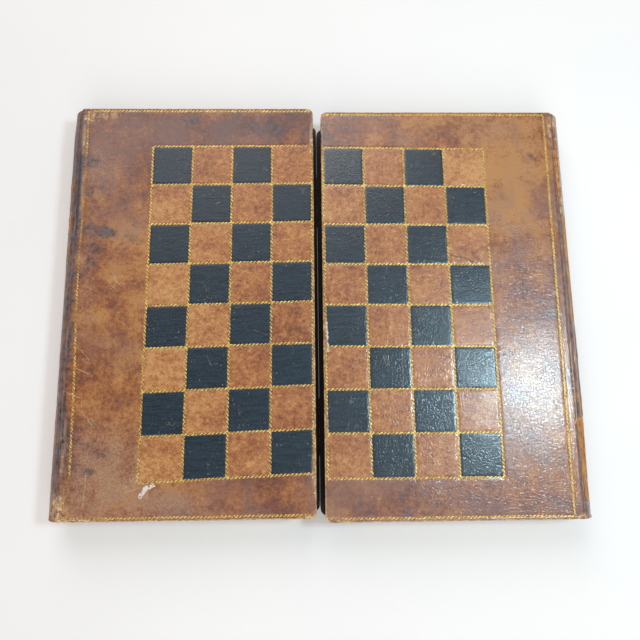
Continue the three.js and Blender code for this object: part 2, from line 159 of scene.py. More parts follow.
# Torn strips on the round of the spine, with their strength.
TORN_STRIPS = {
    "left": on_spine(
        (107, 122, 34, 17, 0.95), (68, 90, 34, 18, 0.95), (43, 59, 35, 16, 0.9), (-150, -90, 31, 9, 0.7),
    ),
    "right": on_spine(
        (-18, 84, 41, 15, 1), (-176, -104, 46, 23, 1), (92, 150, 61, 4, 0.8),
    ),
}
# Ridges of leather standing up from the round of the right spine, with their height.
SPINE_RIDGES = on_spine((83, 186.5, 56, 9, 0.0019), (-104, -19, 53, 6, 0.001), (-104, -19, 37, 5.5, 0.0008))
# Creases along the whole spine: the turn up from the level and half the width on the round.
SPINE_CREASES = [
    (math.radians(turn), math.radians(half))
    for turn, half in ((61, 4), (50, 3), (40, 3), (29, 3), (12, 4), (-22, 5), (-58, 5))
]
# Straight marks: x and y of one end, x and y of the other and the width in millimetres, and the strength.
PALE_SCRATCHES = {
    "left": in_metres(
        5,
        (-217.9, -37.9, -210.7, -42.4, 0.5, 0.9), (-210.7, -42.4, -204.1, -50.4, 0.5, 0.8),
        (-215, -57.3, -204.2, -62.7, 0.6, 0.9), (-204.2, -62.7, -202.2, -60.6, 0.5, 0.8),
        (-224.9, -77.3, -209.9, -83.5, 0.6, 0.9), (-213.8, -88.6, -196.3, -109.2, 0.5, 0.7),
        (-209, -80, -207.6, -99, 0.4, 0.5), (-201, -148, -201.1, -160, 0.6, 0.8),
        (-201.1, -160, -202.8, -175.3, 0.6, 0.75), (-96, 94, -92.5, 96, 0.5, 0.6), (-101, -48, -97, -56, 0.4, 0.35),
        (-174, 118, -168, 113, 0.4, 0.4), (-60, -25, -48, -29, 0.4, 0.3), (-79, 15, -84, 2, 0.4, 0.4),
        (-168, -164, -157, -160, 0.8, 0.7), (-164, -152, -160, -160, 0.7, 0.6),
        (-157, -148, -162.5, -154, 0.8, 0.6), (-192.5, 27, -190, 20, 0.6, 0.6), (-189, 31, -184.5, 23.5, 0.7, 0.8),
        (-186.5, 23.5, -179.5, 16.5, 0.7, 0.9), (-188, 16.5, -182.5, 12, 0.6, 0.7),
        (-183.5, 21, -178, 18, 0.6, 0.8), (-191, 13, -185, 16, 0.5, 0.5), (-136, -65.5, -134.8, -66.5, 0.9, 0.8),
    ),
    "right": in_metres(
        5,
        (74.5, 1.7, 71.5, -79.4, 0.6, 0.25), (38, -48, 33, -63, 0.5, 0.25), (86, -24, 89, -31, 0.4, 0.3),
    ),
}
CHALK_MARKS = {
    "left": in_metres(
        5,
        (-154.5, -167, -150, -161, 3.4, 0.75), (-151.5, -160, -143, -158, 3, 0.72),
    ),
    "right": in_metres(
        5,
        (4.6, -15, 6.2, -44, 2.2, 0.62), (4.6, -95, 5.6, -120, 1.4, 0.5), (223.6, -55, 221.6, -110, 1.8, 0.4),
    ),
}
DEEP_SCRATCHES = {
    "left": in_metres(
        5,
        (-179, 130, -174, 122, 0.6, 0.5), (-129, 116, -124, 104, 0.5, 0.5), (-120, -10, -116, -19, 0.5, 0.4),
    ),
    "right": in_metres(
        5,
        (119.4, 43.8, 134.1, 40.8, 1.3, 0.6), (134.1, 40.8, 144.8, 34.1, 1.2, 0.7),
        (128.9, 48.5, 135, 53, 0.7, 0.5), (201.8, -57, 196, -65, 0.9, 0.7), (166.9, -107, 165, -113, 0.9, 0.7),
        (182.4, -111, 183.5, -118, 0.8, 0.7), (198.5, 144, 207, 137, 0.9, 0.5),
    ),
}


def tint(code):
    """A colour for a shader from its usual six-figure code."""
    levels = [int(code[place : place + 2], 16) / 255 for place in (0, 2, 4)]
    return [x / 12.92 if x <= 0.04045 else ((x + 0.055) / 1.055) ** 2.4 for x in levels]


def blend(low, high, share):
    return low + (high - low) * share


def clip(share):
    return min(max(share, 0), 1)


def ease(value, low, high):
    """0 below low, 1 above high and a smooth rise between them."""
    share = clip((value - low) / (high - low))
    return share * share * (3 - 2 * share)


def fall(value, low, high):
    """1 below low, 0 above high and a smooth fall between them."""
    return 1 - ease(value, low, high)


def waver(*place):
    """A smooth change from about -1 to 1 from place to place."""
    return noise.noise(Vector(place))


def uneven(*place):
    """A smooth change from about 0 to 1 from place to place."""
    return 0.5 + 0.5 * waver(*place)


def stops(knots, widest):
    """Places from the first knot to the last, with more between two knots that are further apart than widest."""
    places = []
    for low, high in zip(knots, knots[1:]):
        count = max(1, math.ceil((high - low) / widest))
        places += [blend(low, high, step / count) for step in range(count)]
    return places + [knots[-1]]


class Volume:
    """One volume's measures, read from the packed nodes, and the layout of its cover."""

    def __init__(self, side):
        self.side = side
        self.body = f"{side}_volume"
        self.sign = 1 if side == "right" else -1
        self.fore, self.joint, self.near, self.far, self.board_bottom, self.top = self.reach_of("cover_leather")
        _, self.spine_reach, _, _, spine_bottom, spine_top = self.reach_of("spine_leather")
        self.spine_level = (spine_bottom + spine_top) / 2
        chord = (spine_top - spine_bottom) / 2
        rise = self.spine_reach - self.joint - SEAT
        self.spine_radius = (chord**2 + rise**2) / (2 * rise)
        self.spine_centre = self.spine_reach - self.spine_radius
        self.corners = [[Vector(self.own(*corner)) for corner in pair] for pair in BOARD_CORNERS[side]]
        (near_fore, near_joint), (far_fore, far_joint) = self.corners
        self.first_file = (near_fore.x + far_fore.x) / 2
        self.last_file = (near_joint.x + far_joint.x) / 2
        self.first_rank = (near_fore.y + near_joint.y) / 2
        self.last_rank = (far_fore.y + far_joint.y) / 2
        self.file_pitch = (self.last_file - self.first_file) / FILES
        self.rank_pitch = (self.last_rank - self.first_rank) / RANKS
        tooling = bpy.context.scene.games_box_tooling
        self.end_inset = tooling.end_inset
        self.side_insets = (tooling.tail_side_inset, tooling.head_side_inset)
        self.side_line = self.joint - sum(self.side_insets) / 2

    def reach_of(self, node):
        """A node's lowest and highest places across, along and in height."""
        low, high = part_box(f"{self.side}_{node}")
        across = sorted(self.sign * (x - HINGE_X) for x in (low.x, high.x))
        along = sorted(self.sign * y for y in (low.y, high.y))
        return *across, *along, low.z, high.z

    def own(self, x, y):
        return self.sign * (x - HINGE_X), self.sign * y

    def place(self, across, along):
        return HINGE_X + self.sign * across, self.sign * along

    def turned(self):
        """Carries a mesh made in the volume's own measures to its place in the frame."""
        turn = 0 if self.sign == 1 else math.pi
        return Matrix.Translation((HINGE_X, 0, 0)) @ Matrix.Rotation(turn, 4, "Z")

    def crossing(self, file, rank):
        """Where two tooled lines cross. The lines aren't quite square, because they were drawn by hand."""
        near, far = (pair[0].lerp(pair[1], file / FILES) for pair in self.corners)
        return near.lerp(far, rank / RANKS)

    def side_line_at(self, along):
        share = (self.sign * along - self.sign * self.near) / (self.sign * (self.far - self.near))
        inset = blend(*self.side_insets, share if self.sign == 1 else 1 - share)
        if self.side == "left":
            y = self.sign * along
            inset -= 0.0027 * math.exp(-(((y - 0.025) / 0.075) ** 2)) + 0.001 * ease(y, 0.08, 0.16)
        return self.joint - inset

    def squares(self, across, along):
        return (across - self.first_file) / self.file_pitch, (along - self.first_rank) / self.rank_pitch

    def drawn(self, across, along):
        """Moves a place on the even layout to where it was really drawn."""
        file, rank = self.squares(across, along)
        x, y = self.crossing(min(max(file, 0), FILES), min(max(rank, 0), RANKS))
        if file < 0:
            x = blend(self.fore, x, (across - self.fore) / (self.first_file - self.fore))
        elif file > FILES and across <= self.side_line:
            x = blend(x, self.side_line_at(along), (across - self.last_file) / (self.side_line - self.last_file))
        elif file > FILES:
            x = blend(self.side_line_at(along), self.joint, (across - self.side_line) / (self.joint - self.side_line))
        if rank < 0:
            y = blend(self.near, y, (along - self.near) / (self.first_rank - self.near))
        elif rank > RANKS:
            y = blend(y, self.far, (along - self.last_rank) / (self.far - self.last_rank))
        return x, y

    def end_distance(self, along):
        return min(along - self.near, self.far - along)

    def edge_distance(self, across, along):
        """How far a place on the cover is from its fore edge or its nearer end."""
        return min(across - self.fore, self.end_distance(along))

    def line_distance(self, across, along):
        """How far a place on the even layout is from the nearest tooled line."""
        file, rank = self.squares(across, along)
        found = [abs(self.end_distance(along) - self.end_inset), abs(across - self.side_line)]
        if -0.03 < file < FILES + 0.03 and -0.03 < rank < RANKS + 0.03:
            found += [abs(file - round(file)) * self.file_pitch, abs(rank - round(rank)) * self.rank_pitch]
        return min(found)


def finish_mesh(name, bm, volume, material, smooth=True):
    """Makes a finished object from a bmesh in the volume's own measures and lets it ride on the volume."""
    bmesh.ops.transform(bm, matrix=volume.turned(), verts=bm.verts)
    mesh = bpy.data.meshes.new(name)
    bm.to_mesh(mesh)
    bm.free()
    mesh.polygons.foreach_set("use_smooth", [smooth] * len(mesh.polygons))
    mesh.materials.append(material)
    piece = bpy.data.objects.new(name, mesh)
    bpy.context.scene.collection.objects.link(piece)
    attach(piece, volume.body)
    return piece


def thicken(piece, name, thickness):
    """Gives an open sheet its thickness, inwards from its faces."""
    solidify = piece.modifiers.new(name, "SOLIDIFY")
    solidify.thickness = thickness
    solidify.offset = -1


def spot_strength(spots, x, y):
    """The strength at a place of the spot that is strongest there."""
    strength = 0
    for centre_x, centre_y, reach_x, reach_y, most in spots:
        away = math.hypot((x - centre_x) / reach_x, (y - centre_y) / reach_y)
        strength = max(strength, most * fall(away, 0.25, 1.35))
    return strength


def shade_at(place):
    """How much lighter, above 0, or darker the calf is at a place in the frame: partly mottling, partly painted light
    and shade.
    """
    shift = 0
    for centre_x, centre_y, reach_x, reach_y, most in SHADES:
        shift += most * math.exp(-(((place.x - centre_x) / reach_x) ** 2) - ((place.y - centre_y) / reach_y) ** 2)
    return shift


def torn_strength(volume, turn, y):
    """How torn the leather is at a place on the round of the spine."""
    strength = 0
    for low, high, centre, half, most in TORN_STRIPS[volume.side]:
        ends = ease(y, low - 0.002, low + 0.003) * fall(y, high - 0.003, high + 0.002)
        wander = 0.3 * waver(y * 60, centre, 0) + 0.2 * waver(y * 260, centre, 0)
        width = half * blend(0.5, 1, clip((y - low) / (high - low)))
        strength = max(strength, most * ends * fall(abs(turn - centre) / width + wander, 0.7, 1.2))
    return strength


def crease_strength(turn, along):
    """How deep in one of the creases that run along the round of the spine a place is."""
    strength = 0
    for centre, half in SPINE_CREASES:
        wander = 0.035 * waver(along * 30, centre * 5, 0)
        depth = 0.6 + 0.4 * waver(along * 55, centre * 9, 4)
        strength = max(strength, depth * fall(abs(turn - centre + wander) / half, 0.3, 1))
    return strength


def ridge_height(volume, turn, y):
    """How far the leather stands up in a ridge at a place on the round of the spine."""
    height = 0
    for low, high, centre, half, most in SPINE_RIDGES if volume.side == "right" else ():
        ends = ease(y, low, low + 0.0015) * fall(y, high - 0.003, high)
        wander = 0.03 * waver(y * 45, centre, 2)
        most *= 0.85 + 0.3 * waver(y * 90, centre, 7)
        height = max(height, most * ends * fall(abs(turn - centre + wander) / half, 0.15, 1))
    return height


def wear_at(volume, place):
    """How rubbed, dark and torn the calf is at a place in the frame."""
    x, y, z = place
    across, along = volume.own(x, y)
    rubbed = spot_strength(RUBBED_SPOTS, x, y)
    dark = spot_strength(DARK_SPOTS, x, y)
    rough = uneven(x * 45, y * 45, z * 45)
    if across > volume.joint + SEAT:
        turn = math.atan2(z - volume.spine_level, across - volume.spine_centre)
        flecks, grime, silhouette = SPINE_WEAR[volume.side]
        raised = ease(ridge_height(volume, turn, y), 0.0003, 0.0009)
        rubbed = max(
            rubbed,
            fall(volume.end_distance(along), 0.0004, 0.004) * (0.3 + 0.4 * rough),
            fall(abs(abs(turn) - 1.18), 0.02, 0.14) * (0.1 + 0.4 * rough),
            0.1 + flecks * rough,
            fall(abs(turn - 0.56), 0.04, 0.17) * silhouette * (0.4 + 0.6 * rough),
            raised * (0.35 + 0.3 * rough),
        )
        # Darker all over the spine from grime and painted shade, and darker still in its creases as painted shade.
        dark = max(dark, grime + 0.25 * (1 - rough), crease_strength(turn, along) * 1.2) * (1 - 0.5 * raised)
        return rubbed, dark, torn_strength(volume, turn, y)
    down = volume.top - z
    edge = max(volume.edge_distance(across, along), 0) + max(down - 0.0012, 0) * 0.8
    rubbed = max(rubbed, fall(edge, 0.0003, 0.0022) * (0.46 + 0.5 * rough))
    # Darker in and beside the joint: painted shade in its valley, with some grime.
    joint = abs(volume.joint - across)
    dark = max(dark, 0.25 * fall(joint, 0.002, 0.012), (0.6 + 0.4 * rough) * fall(joint, 0.0004, 0.002))
    # Down the fore edge, towards the narrow gap between the volumes, the calf goes dark as painted shade of the gap,
    # and is less rubbed.
    if across < volume.fore + 0.002:
        dark = max(dark, ease(down, 0.0008, 0.0024))
        rubbed *= fall(down, 0.0006, 0.0018)
    return rubbed, dark, 0


def add_wear(bm, volume):
    """Stores the wear, the shade and the haze of each place on its vertex, for the materials to read."""
    layers = [bm.verts.layers.float.new(name) for name in ("rubbed", "dark", "torn", "shade", "haze")]
    matrix = volume.turned()
    for vertex in bm.verts:
        place = matrix @ vertex.co
        haze = spot_strength(HAZE_SPOTS, place.x, place.y)
        for layer, strength in zip(layers, (*wear_at(volume, place), shade_at(place), haze)):
            vertex[layer] = strength


# Materials


class Recipe:
    """Builds one procedural material node by node."""

    def __init__(self, name, **shader):
        self.material = bpy.data.materials.new(name)
        self.material.use_nodes = True
        self.tree = self.material.node_tree
        self.shader = self.tree.nodes["Principled BSDF"]
        self.count = 0
        for key, value in shader.items():
            self.shader.inputs[key.replace("_", " ")].default_value = value
        self.place = self.add("ShaderNodeTexCoord").outputs["Object"]

    def add(self, kind, inputs=(), **settings):
        node = self.tree.nodes.new(kind)
        node.location = (-2600 + 190 * (self.count // 7), 700 - 220 * (self.count % 7))
        self.count += 1
        for key, value in settings.items():
            setattr(node, key, value)
        for key, value in dict(inputs).items():
            self.feed(node.inputs[key], value)
        return node

    def feed(self, socket, value):
        if isinstance(value, bpy.types.NodeSocket):
            self.tree.links.new(value, socket)
        elif socket.type == "RGBA":
            socket.default_value = (*value[:3], 1)
        else:
            socket.default_value = value

    def stored(self, name, output="Fac"):
        return self.add("ShaderNodeAttribute", attribute_name=name).outputs[output]

    def x_and_y(self, vector):
        return self.add("ShaderNodeSeparateXYZ", {0: vector}).outputs[:2]

    def mapped(self, scale, turn=0.0, stretch=(1, 1, 1)):
        """Where a texture is read and at what scale, through a Mapping node if it is stretched or turned."""
        if isinstance(scale, tuple):
            stretch, scale = scale, 1.0
        elif not turn and stretch == (1, 1, 1):
            return {"Vector": self.place, "Scale": scale}
        inputs = {"Vector": self.place, "Scale": stretch, "Rotation": (0, 0, turn)}
        return {"Vector": self.add("ShaderNodeMapping", inputs).outputs[0], "Scale": scale}

    def grain(self, scale, detail=4.0, roughness=0.55, distortion=0.0, turn=0.0):
        inputs = {"Detail": detail, "Roughness": roughness, "Distortion": distortion, **self.mapped(scale, turn)}
        return self.add("ShaderNodeTexNoise", inputs).outputs["Fac"]

    def cells(self, scale, feature="F1", stretch=(1, 1, 1)):
        inputs = self.mapped(scale, stretch=stretch)
        return self.add("ShaderNodeTexVoronoi", inputs, feature=feature).outputs["Distance"]

    def work(self, operation, *values):
        return self.add("ShaderNodeMath", enumerate(values), operation=operation).outputs[0]

    def steer(self, operation, output, *values):
        return self.add("ShaderNodeVectorMath", enumerate(values), operation=operation).outputs[output]

    def sum(self, first, second):
        return self.work("ADD", first, second)

    def times(self, first, second):
        return self.work("MULTIPLY", first, second)

    def rest(self, value):
        return self.work("SUBTRACT", 1.0, value)

    def most(self, first, second):
        return self.work("MAXIMUM", first, second)

    def total(self, *parts):
        """The sum of some values, each given with its weight."""
        result = 0.0
        for value, weight in parts:
            result = self.work("MULTIPLY_ADD", value, weight, result)
        return result

    def rise(self, value, low, high, bottom=0.0, top=1.0):
        """Runs smoothly from bottom to top as the value runs from low to high."""
        inputs = {"Value": value, "From Min": low, "From Max": high, "To Min": bottom, "To Max": top}
        return self.add("ShaderNodeMapRange", inputs, interpolation_type="SMOOTHSTEP").outputs[0]

    def ragged(self, value, edge_noise, spread, low, high):
        """Turns a soft value into a patch with a torn edge."""
        return self.rise(self.total((value, 1.0), (edge_noise, spread), (1.0, -spread / 2)), low, high)

    def scale(self, value, low, high, colours):
        """A colour for each value from low to high, from the colour at each place between them."""
        node = self.add("ShaderNodeValToRGB", {"Fac": self.rise(value, low, high)})
        elements = node.color_ramp.elements
        while len(elements) < len(colours):
            elements.new(0.5)
        for element, (place, colour) in zip(elements, colours.items()):
            element.position = place
            element.color = (*colour[:3], 1)
        return node.outputs["Color"]

    def mix(self, share, first, second):
        return self.add("ShaderNodeMix", {0: share, 6: first, 7: second}, data_type="RGBA").outputs[2]

    def laid(self, colour, *layers):
        """A colour with others laid over it in turn, each given with how far it covers."""
        for share, layer in layers:
            colour = self.mix(share, colour, layer)
        return colour

    def mix_value(self, share, first, second):
        return self.add("ShaderNodeMix", {0: share, 2: first, 3: second}, data_type="FLOAT").outputs[0]

    def scratches(self, lines):
        """The strength of some straight scratches, from the ends, width and strength of each."""
        shake = self.add("ShaderNodeTexNoise", {"Vector": self.place, "Scale": 300, "Detail": 2}).outputs["Color"]
        shake = self.steer("MULTIPLY_ADD", 0, shake, (0.0016, 0.0016, 0), (-0.0008, -0.0008, 0))
        flat = self.steer("MULTIPLY_ADD", 0, self.place, (1, 1, 0), shake)
        most = 0.0
        for *ends, width, strength in lines:
            start, end = Vector((*ends[:2], 0)), Vector((*ends[2:], 0))
            way = end - start
            away = self.steer("SUBTRACT", 0, flat, start)
            reached = self.steer("DOT_PRODUCT", 1, away, way / way.length_squared)
            reached = self.most(self.work("MINIMUM", reached, 1.0), 0.0)
            nearest = self.steer("SCALE", 0, way)
            self.feed(nearest.node.inputs["Scale"], reached)
            off = self.steer("LENGTH", 1, self.steer("SUBTRACT", 0, away, nearest))
            most = self.most(most, self.rise(off, width * 0.25, width, strength, 0.0))
        return most

    def finish(self, colour, roughness, height, distance, strength=1.0, metallic=0.0):
        """Feeds the shader its colour, roughness and metal, and bumps as deep as distance from a height."""
        inputs = {"Height": height, "Distance": distance, "Strength": strength}
        normal = self.add("ShaderNodeBump", inputs).outputs[0]
        sockets = {"Base Color": colour, "Roughness": roughness, "Metallic": metallic, "Normal": normal}
        if self.shader.inputs["Coat Roughness"].default_value > 0.1:
            sockets["Coat Normal"] = normal
        for key, value in sockets.items():
            self.feed(self.shader.inputs[key], value)
        return self.material


def calf_material(name, look, side, with_squares):
    """Old varnished calf: mottled, stained in blotches, scuffed to tan at the edges and painted in squares, with
    painted shade in the joint, down the fore edge and in the spine's creases.
    """
    varnish, varnish_roughness, wrinkles, most_bloom = (
        getattr(look, f"{side}_{key}") for key in ("varnish", "roughness", "wrinkles", "bloom")
    )
    r = Recipe(name, Coat_Weight=varnish, Coat_Roughness=varnish_roughness, Coat_IOR=1.6)
    broad = r.grain(13, 5, 0.6, 0.2)
    middle = r.grain(52, 6, 0.62, 0.2)
    fine = r.grain(230, 5, 0.65)
    speckle = r.grain(560, 3, 0.6)
    shade, rubbed, torn, dark = (r.stored(key) for key in ("shade", "rubbed", "torn", "dark"))
    # The shade attribute brings broad painted light and shade into the tone along with the mottling.
    tone = r.total((broad, 0.3), (middle, 0.28), (fine, 0.26), (speckle, 0.16), (shade, 0.1))
    mottling = {0.0: look.calf_dark, 0.35: look.calf_brown, 0.7: look.calf_tan, 1.0: look.calf_light}
    bloom = r.rise(r.grain(11, 5, 0.6, turn=0.7), 0.46, 0.66)
    bloom = r.rise(r.total((bloom, 0.6), (fine, 0.8)), 0.3, 1.0, 0.03, most_bloom)
    haze = r.times(r.stored("haze"), r.rise(r.total((middle, 0.5), (fine, 0.5)), 0.36, 0.58, 0.3, 1.1))
    blotch = r.times(r.rise(r.grain(30, 5, 0.6, turn=0.4), 0.57, 0.72), 0.6)
    # Stains, and painted shade where the dark attribute holds it: in the joint, down the fore edge and in the spine's
    # creases.
    stain_and_shade = r.ragged(r.sum(dark, blotch), r.grain(120, 6, 0.68), 1.2, 0.22, 0.98)
    body = r.laid(
        r.scale(tone, 0.38, 0.62, mottling),
        (bloom, look.calf_bloom),
        (haze, r.mix(r.rise(speckle, 0.4, 0.58), look.calf_bloom, look.calf_haze)),
        (r.times(stain_and_shade, 0.8), r.mix(r.rise(fine, 0.42, 0.56), look.calf_stain_and_shade, look.calf_grey)),
    )
    roughness = r.rise(tone, 0.4, 0.6, look.polish, look.polish + 0.14)
    if with_squares:
        body, roughness = painted_squares(r, look, body, roughness, middle, fine, speckle, shade)

    hair = r.work("ABSOLUTE", r.sum(r.grain((70, 26, 40), 3, 0.5, turn=0.9), -0.5))
    hair = r.times(r.rise(hair, 0.0, 0.006, 1.0, 0.0), r.rise(middle, 0.52, 0.62, 0.0, 0.45))
    pale = r.most(hair, r.scratches(PALE_SCRATCHES[side]))
    deep = r.scratches(DEEP_SCRATCHES[side])
    dots = r.times(r.rise(r.cells(130), 0.03, 0.085, 1.0, 0.0), r.rise(r.grain(60, 3), 0.52, 0.6))
    streaks = r.rise(r.grain((420, 60, 300), 4, 0.65, turn=0.05), 0.42, 0.62)
    edge_noise = r.grain(210, 7, 0.72)
    scuff = r.ragged(rubbed, edge_noise, 1.5, 0.46, 0.7)
    bare = r.mix(r.rise(speckle, 0.35, 0.6), look.scuffed, look.scuffed_light)
    bare = r.mix(r.rise(fine, 0.4, 0.52, 0.85, 0.0), bare, look.calf_brown)
    tear = r.ragged(torn, edge_noise, 0.7, 0.42, 0.5)
    whole = r.rest(tear)
    crack = r.times(r.ragged(torn, edge_noise, 0.7, 0.22, 0.34), whole)
    fibres = r.grain((900, 70, 900), 4, 0.6)
    inner = {0.0: look.torn_dark, 0.4: look.torn_tan, 1.0: look.torn_light}
    # Near-black where the dark attribute runs highest: painted shade in the joint, down the fore edge and in the
    # spine's creases, with some old dirt.
    dirt_and_shade = r.rise(r.total((dark, 1.0), (fine, 0.5)), 1.0, 1.35, 0.0, 0.75)
    chalk = r.ragged(r.scratches(CHALK_MARKS[side]), r.grain(430, 5, 0.75), 2.6, 0.5, 0.7)
    body = r.laid(
        body,
        (r.times(pale, r.rise(fine, 0.35, 0.55, 0.35, 0.85)), look.scratch),
        (deep, look.calf_stain_and_shade),
        (r.times(dots, 0.7), look.fleck),
        (r.times(r.rise(rubbed, 0.12, 0.6, 0.0, 0.6), streaks), look.scratch),
        (r.times(scuff, 0.9), bare),
        (r.times(crack, 0.85), look.calf_stain_and_shade),
        (tear, r.scale(r.total((fibres, 0.6), (fine, 0.4)), 0.34, 0.66, inner)),
        (r.times(dirt_and_shade, whole), look.grime),
        (r.times(chalk, 0.85), look.chalk),
    )
    matt = r.most(scuff, tear)
    r.feed(r.shader.inputs["Coat Weight"], r.mix_value(matt, varnish, 0.0))

    wrinkle = r.grain((220, 370, 300), 4, 0.62, 0.3, turn=0.12)
    pebbles = r.rise(r.cells(400, "DISTANCE_TO_EDGE", (1, 1.2, 1)), 0.0, 0.16)
    lifted, sunk = r.times(fibres, tear), r.sum(pale, deep)
    height = r.total((wrinkle, 0.75), (pebbles, 0.22), (r.grain(1400, 3, 0.6), 0.1), (lifted, 0.6), (sunk, -0.2))
    return r.finish(body, r.sum(roughness, r.times(matt, 0.3)), height, wrinkles)


def painted_squares(r, look, body, roughness, middle, fine, speckle, shade):
    """Paints every second square black and lets the calf of the others show warmer."""
    places = r.x_and_y(r.stored("square_place", "Vector"))
    inside = [
        r.times(r.work("GREATER_THAN", place, 0.0), r.work("LESS_THAN", place, count))
        for place, count in zip(places, (FILES, RANKS))
    ]
    inside = r.times(*inside)
    odd = r.work("MODULO", r.sum(r.sum(*(r.work("FLOOR", place) for place in places)), 20), 2.0)
    from_lines = [r.work("ABSOLUTE", r.work("SUBTRACT", place, r.work("ROUND", place))) for place in places]
    from_line = r.work("MINIMUM", *from_lines)
    edge = r.total((from_line, 1.0), (r.grain(330, 3), 0.022), (1.0, -0.011))
    painted = r.times(r.times(inside, odd), r.rise(edge, 0.018, 0.028))
    plain = r.times(inside, r.rest(odd))
    warm_tone = r.total((middle, 0.3), (fine, 0.42), (speckle, 0.28), (shade, 0.1))
    mottling = {0.0: look.square_dark, 0.35: look.square_brown, 0.7: look.square_tan, 1.0: look.square_light}
    strokes = r.grain((60, 420, 100), 5, 0.62, turn=0.02)
    paint = {0.0: look.paint_dark, 1.0: look.paint_light}
    paint = r.scale(r.total((strokes, 0.6), (speckle, 0.4)), 0.36, 0.64, paint)
    chips = r.times(r.rise(speckle, 0.66, 0.72), r.rise(middle, 0.5, 0.6))
    body = r.laid(
        body,
        (r.times(plain, 0.92), r.scale(warm_tone, 0.35, 0.65, mottling)),
        (painted, r.mix(r.times(chips, 0.7), paint, look.fleck)),
        # Painted shade in the tooled grooves: the calf darkens close beside each line.
        (r.times(inside, r.rise(from_line, 0.012, 0.04, 0.5, 0.0)), look.calf_stain_and_shade),
    )
    paint_roughness = r.rise(strokes, 0.3, 0.7, look.paint_polish, look.paint_polish + 0.08)
    return body, r.mix_value(painted, roughness, paint_roughness)


def gold_material(look):
    """Gold leaf rolled on calf, paler and darker at random as painted highlights and shade on the strands, and rubbed
    through to the leather in places.
    """
    r = Recipe("gold_tooling")
    fine = r.grain(700, 4, 0.6)
    # The pale end of this ramp is a painted highlight on the strands, and the dark end is painted shade between them.
    gold = r.scale(fine, 0.36, 0.62, {0.0: look.gold_dark, 0.45: look.gold, 1.0: look.gold_painted_highlight})
    bare = r.total((r.stored("rubbed"), 0.42), (r.grain(90, 4, 0.6), 0.62), (fine, 0.5), (1.0, -0.25))
    bare = r.rise(bare, 0.46, 0.6)
    colour = r.mix(r.times(bare, 0.85), gold, look.gold_bare)
    return r.finish(
        colour, r.rise(fine, 0.3, 0.7, 0.3, 0.46), fine, 0.00012, 0.6, metallic=r.rise(bare, 0.0, 1.0, 0.45, 0.0)
    )


def leaf_material(look):
    """Limewood cut in fine ridges like the edges of leaves, painted cream, browned with age, and near-black towards
    the fore edge from grime and painted shade.
    """
    r = Recipe("leaf_edges", Specular_IOR_Level=0.25)
    layers = r.grain((14, 14, 2600), 4, 0.6)
    stains = r.grain(38, 6, 0.65, 0.5)
    sprinkle = r.times(r.rise(r.cells(520), 0.0, 0.22, 1.0, 0.0), r.rise(r.grain(90, 2), 0.45, 0.6))
    grime = r.ragged(r.stored("grime"), r.grain(300, 5, 0.65), 0.5, 0.2, 0.75)
    colour = r.laid(
        r.scale(layers, 0.25, 0.75, {0.0: look.leaf_dark, 0.45: look.leaf, 1.0: look.leaf_light}),
        (r.rise(stains, 0.46, 0.7, 0.0, 0.7), look.leaf_brown),
        (r.times(sprinkle, 0.55), look.leaf_sprinkle),
        # Near-black towards the fore edge: grime and painted shade of the gap between the volumes.
        (r.times(grime, 0.93), look.leaf_grime),
    )
    return r.finish(colour, r.rise(stains, 0.3, 0.7, 0.72, 0.9), layers, 0.0002, 0.5)


def wood_material(name, dark, middle, light, polish, stretch):
    """Sawn or waxed wood whose grain runs along X or Y."""
    r = Recipe(name, Specular_IOR_Level=0.45)
    figure = r.grain(stretch, 6, 0.6, 1.6)
    pores = r.grain(tuple(8 * size for size in stretch), 3, 0.6)
    tone = r.sum(r.times(figure, 0.75), r.times(pores, 0.25))
    colour = r.scale(tone, 0.3, 0.7, {0.0: dark, 0.5: middle, 1.0: light})
    colour = r.mix(r.rise(pores, 0.62, 0.75, 0.0, 0.55), colour, dark)
    return r.finish(colour, r.rise(figure, 0.3, 0.7, polish, polish + 0.15), tone, 0.00025, 0.5)


def rim_material(look):
    """Dark calf glued over a rail, rubbed to tan in patches."""
    r = Recipe("rim_calf", Specular_IOR_Level=0.35)
    middle = r.grain(60, 7, 0.65, 0.3)
    fine = r.grain(380, 6, 0.7)
    mottling = {0.0: look.calf_stain_and_shade, 0.4: look.calf_dark, 1.0: look.calf_brown}
    rub = r.rise(r.total((middle, 0.55), (fine, 0.6)), 0.66, 0.74)
    away = r.work("ABSOLUTE", r.sum(r.x_and_y(r.place)[0], -HINGE_X))
    colour = r.laid(
        r.scale(r.total((middle, 0.6), (fine, 0.4)), 0.36, 0.64, mottling),
        (r.times(rub, 0.8), look.scuffed),
        # Near-black close to the hinge line: painted shade in the gap between the volumes, with some grime.
        (r.rise(away, 0.006, 0.016, 0.92, 0.0), look.grime),
    )
    height = r.total((r.grain((300, 300, 700), 5, 0.6, 0.4), 0.7), (r.cells(1100), 0.2))
    return r.finish(colour, r.rise(fine, 0.3, 0.7, 0.42, 0.62), height, 0.0003, 0.7)


def board_material(look):
    """Sawn softwood under the leather, with glue marks."""
    r = Recipe("sawn_board")
    figure = r.grain((120, 7, 120), 6, 0.6, 1.2)
    colour = r.scale(figure, 0.3, 0.7, {0.0: look.board_dark, 1.0: look.board_light})
    colour = r.mix(r.rise(r.grain(25, 4), 0.5, 0.7, 0.0, 0.5), colour, look.board_dark)
    return r.finish(colour, r.rise(figure, 0.3, 0.7, 0.7, 0.9), r.grain((30, 900, 30), 3, 0.6), 0.0003, 0.4)


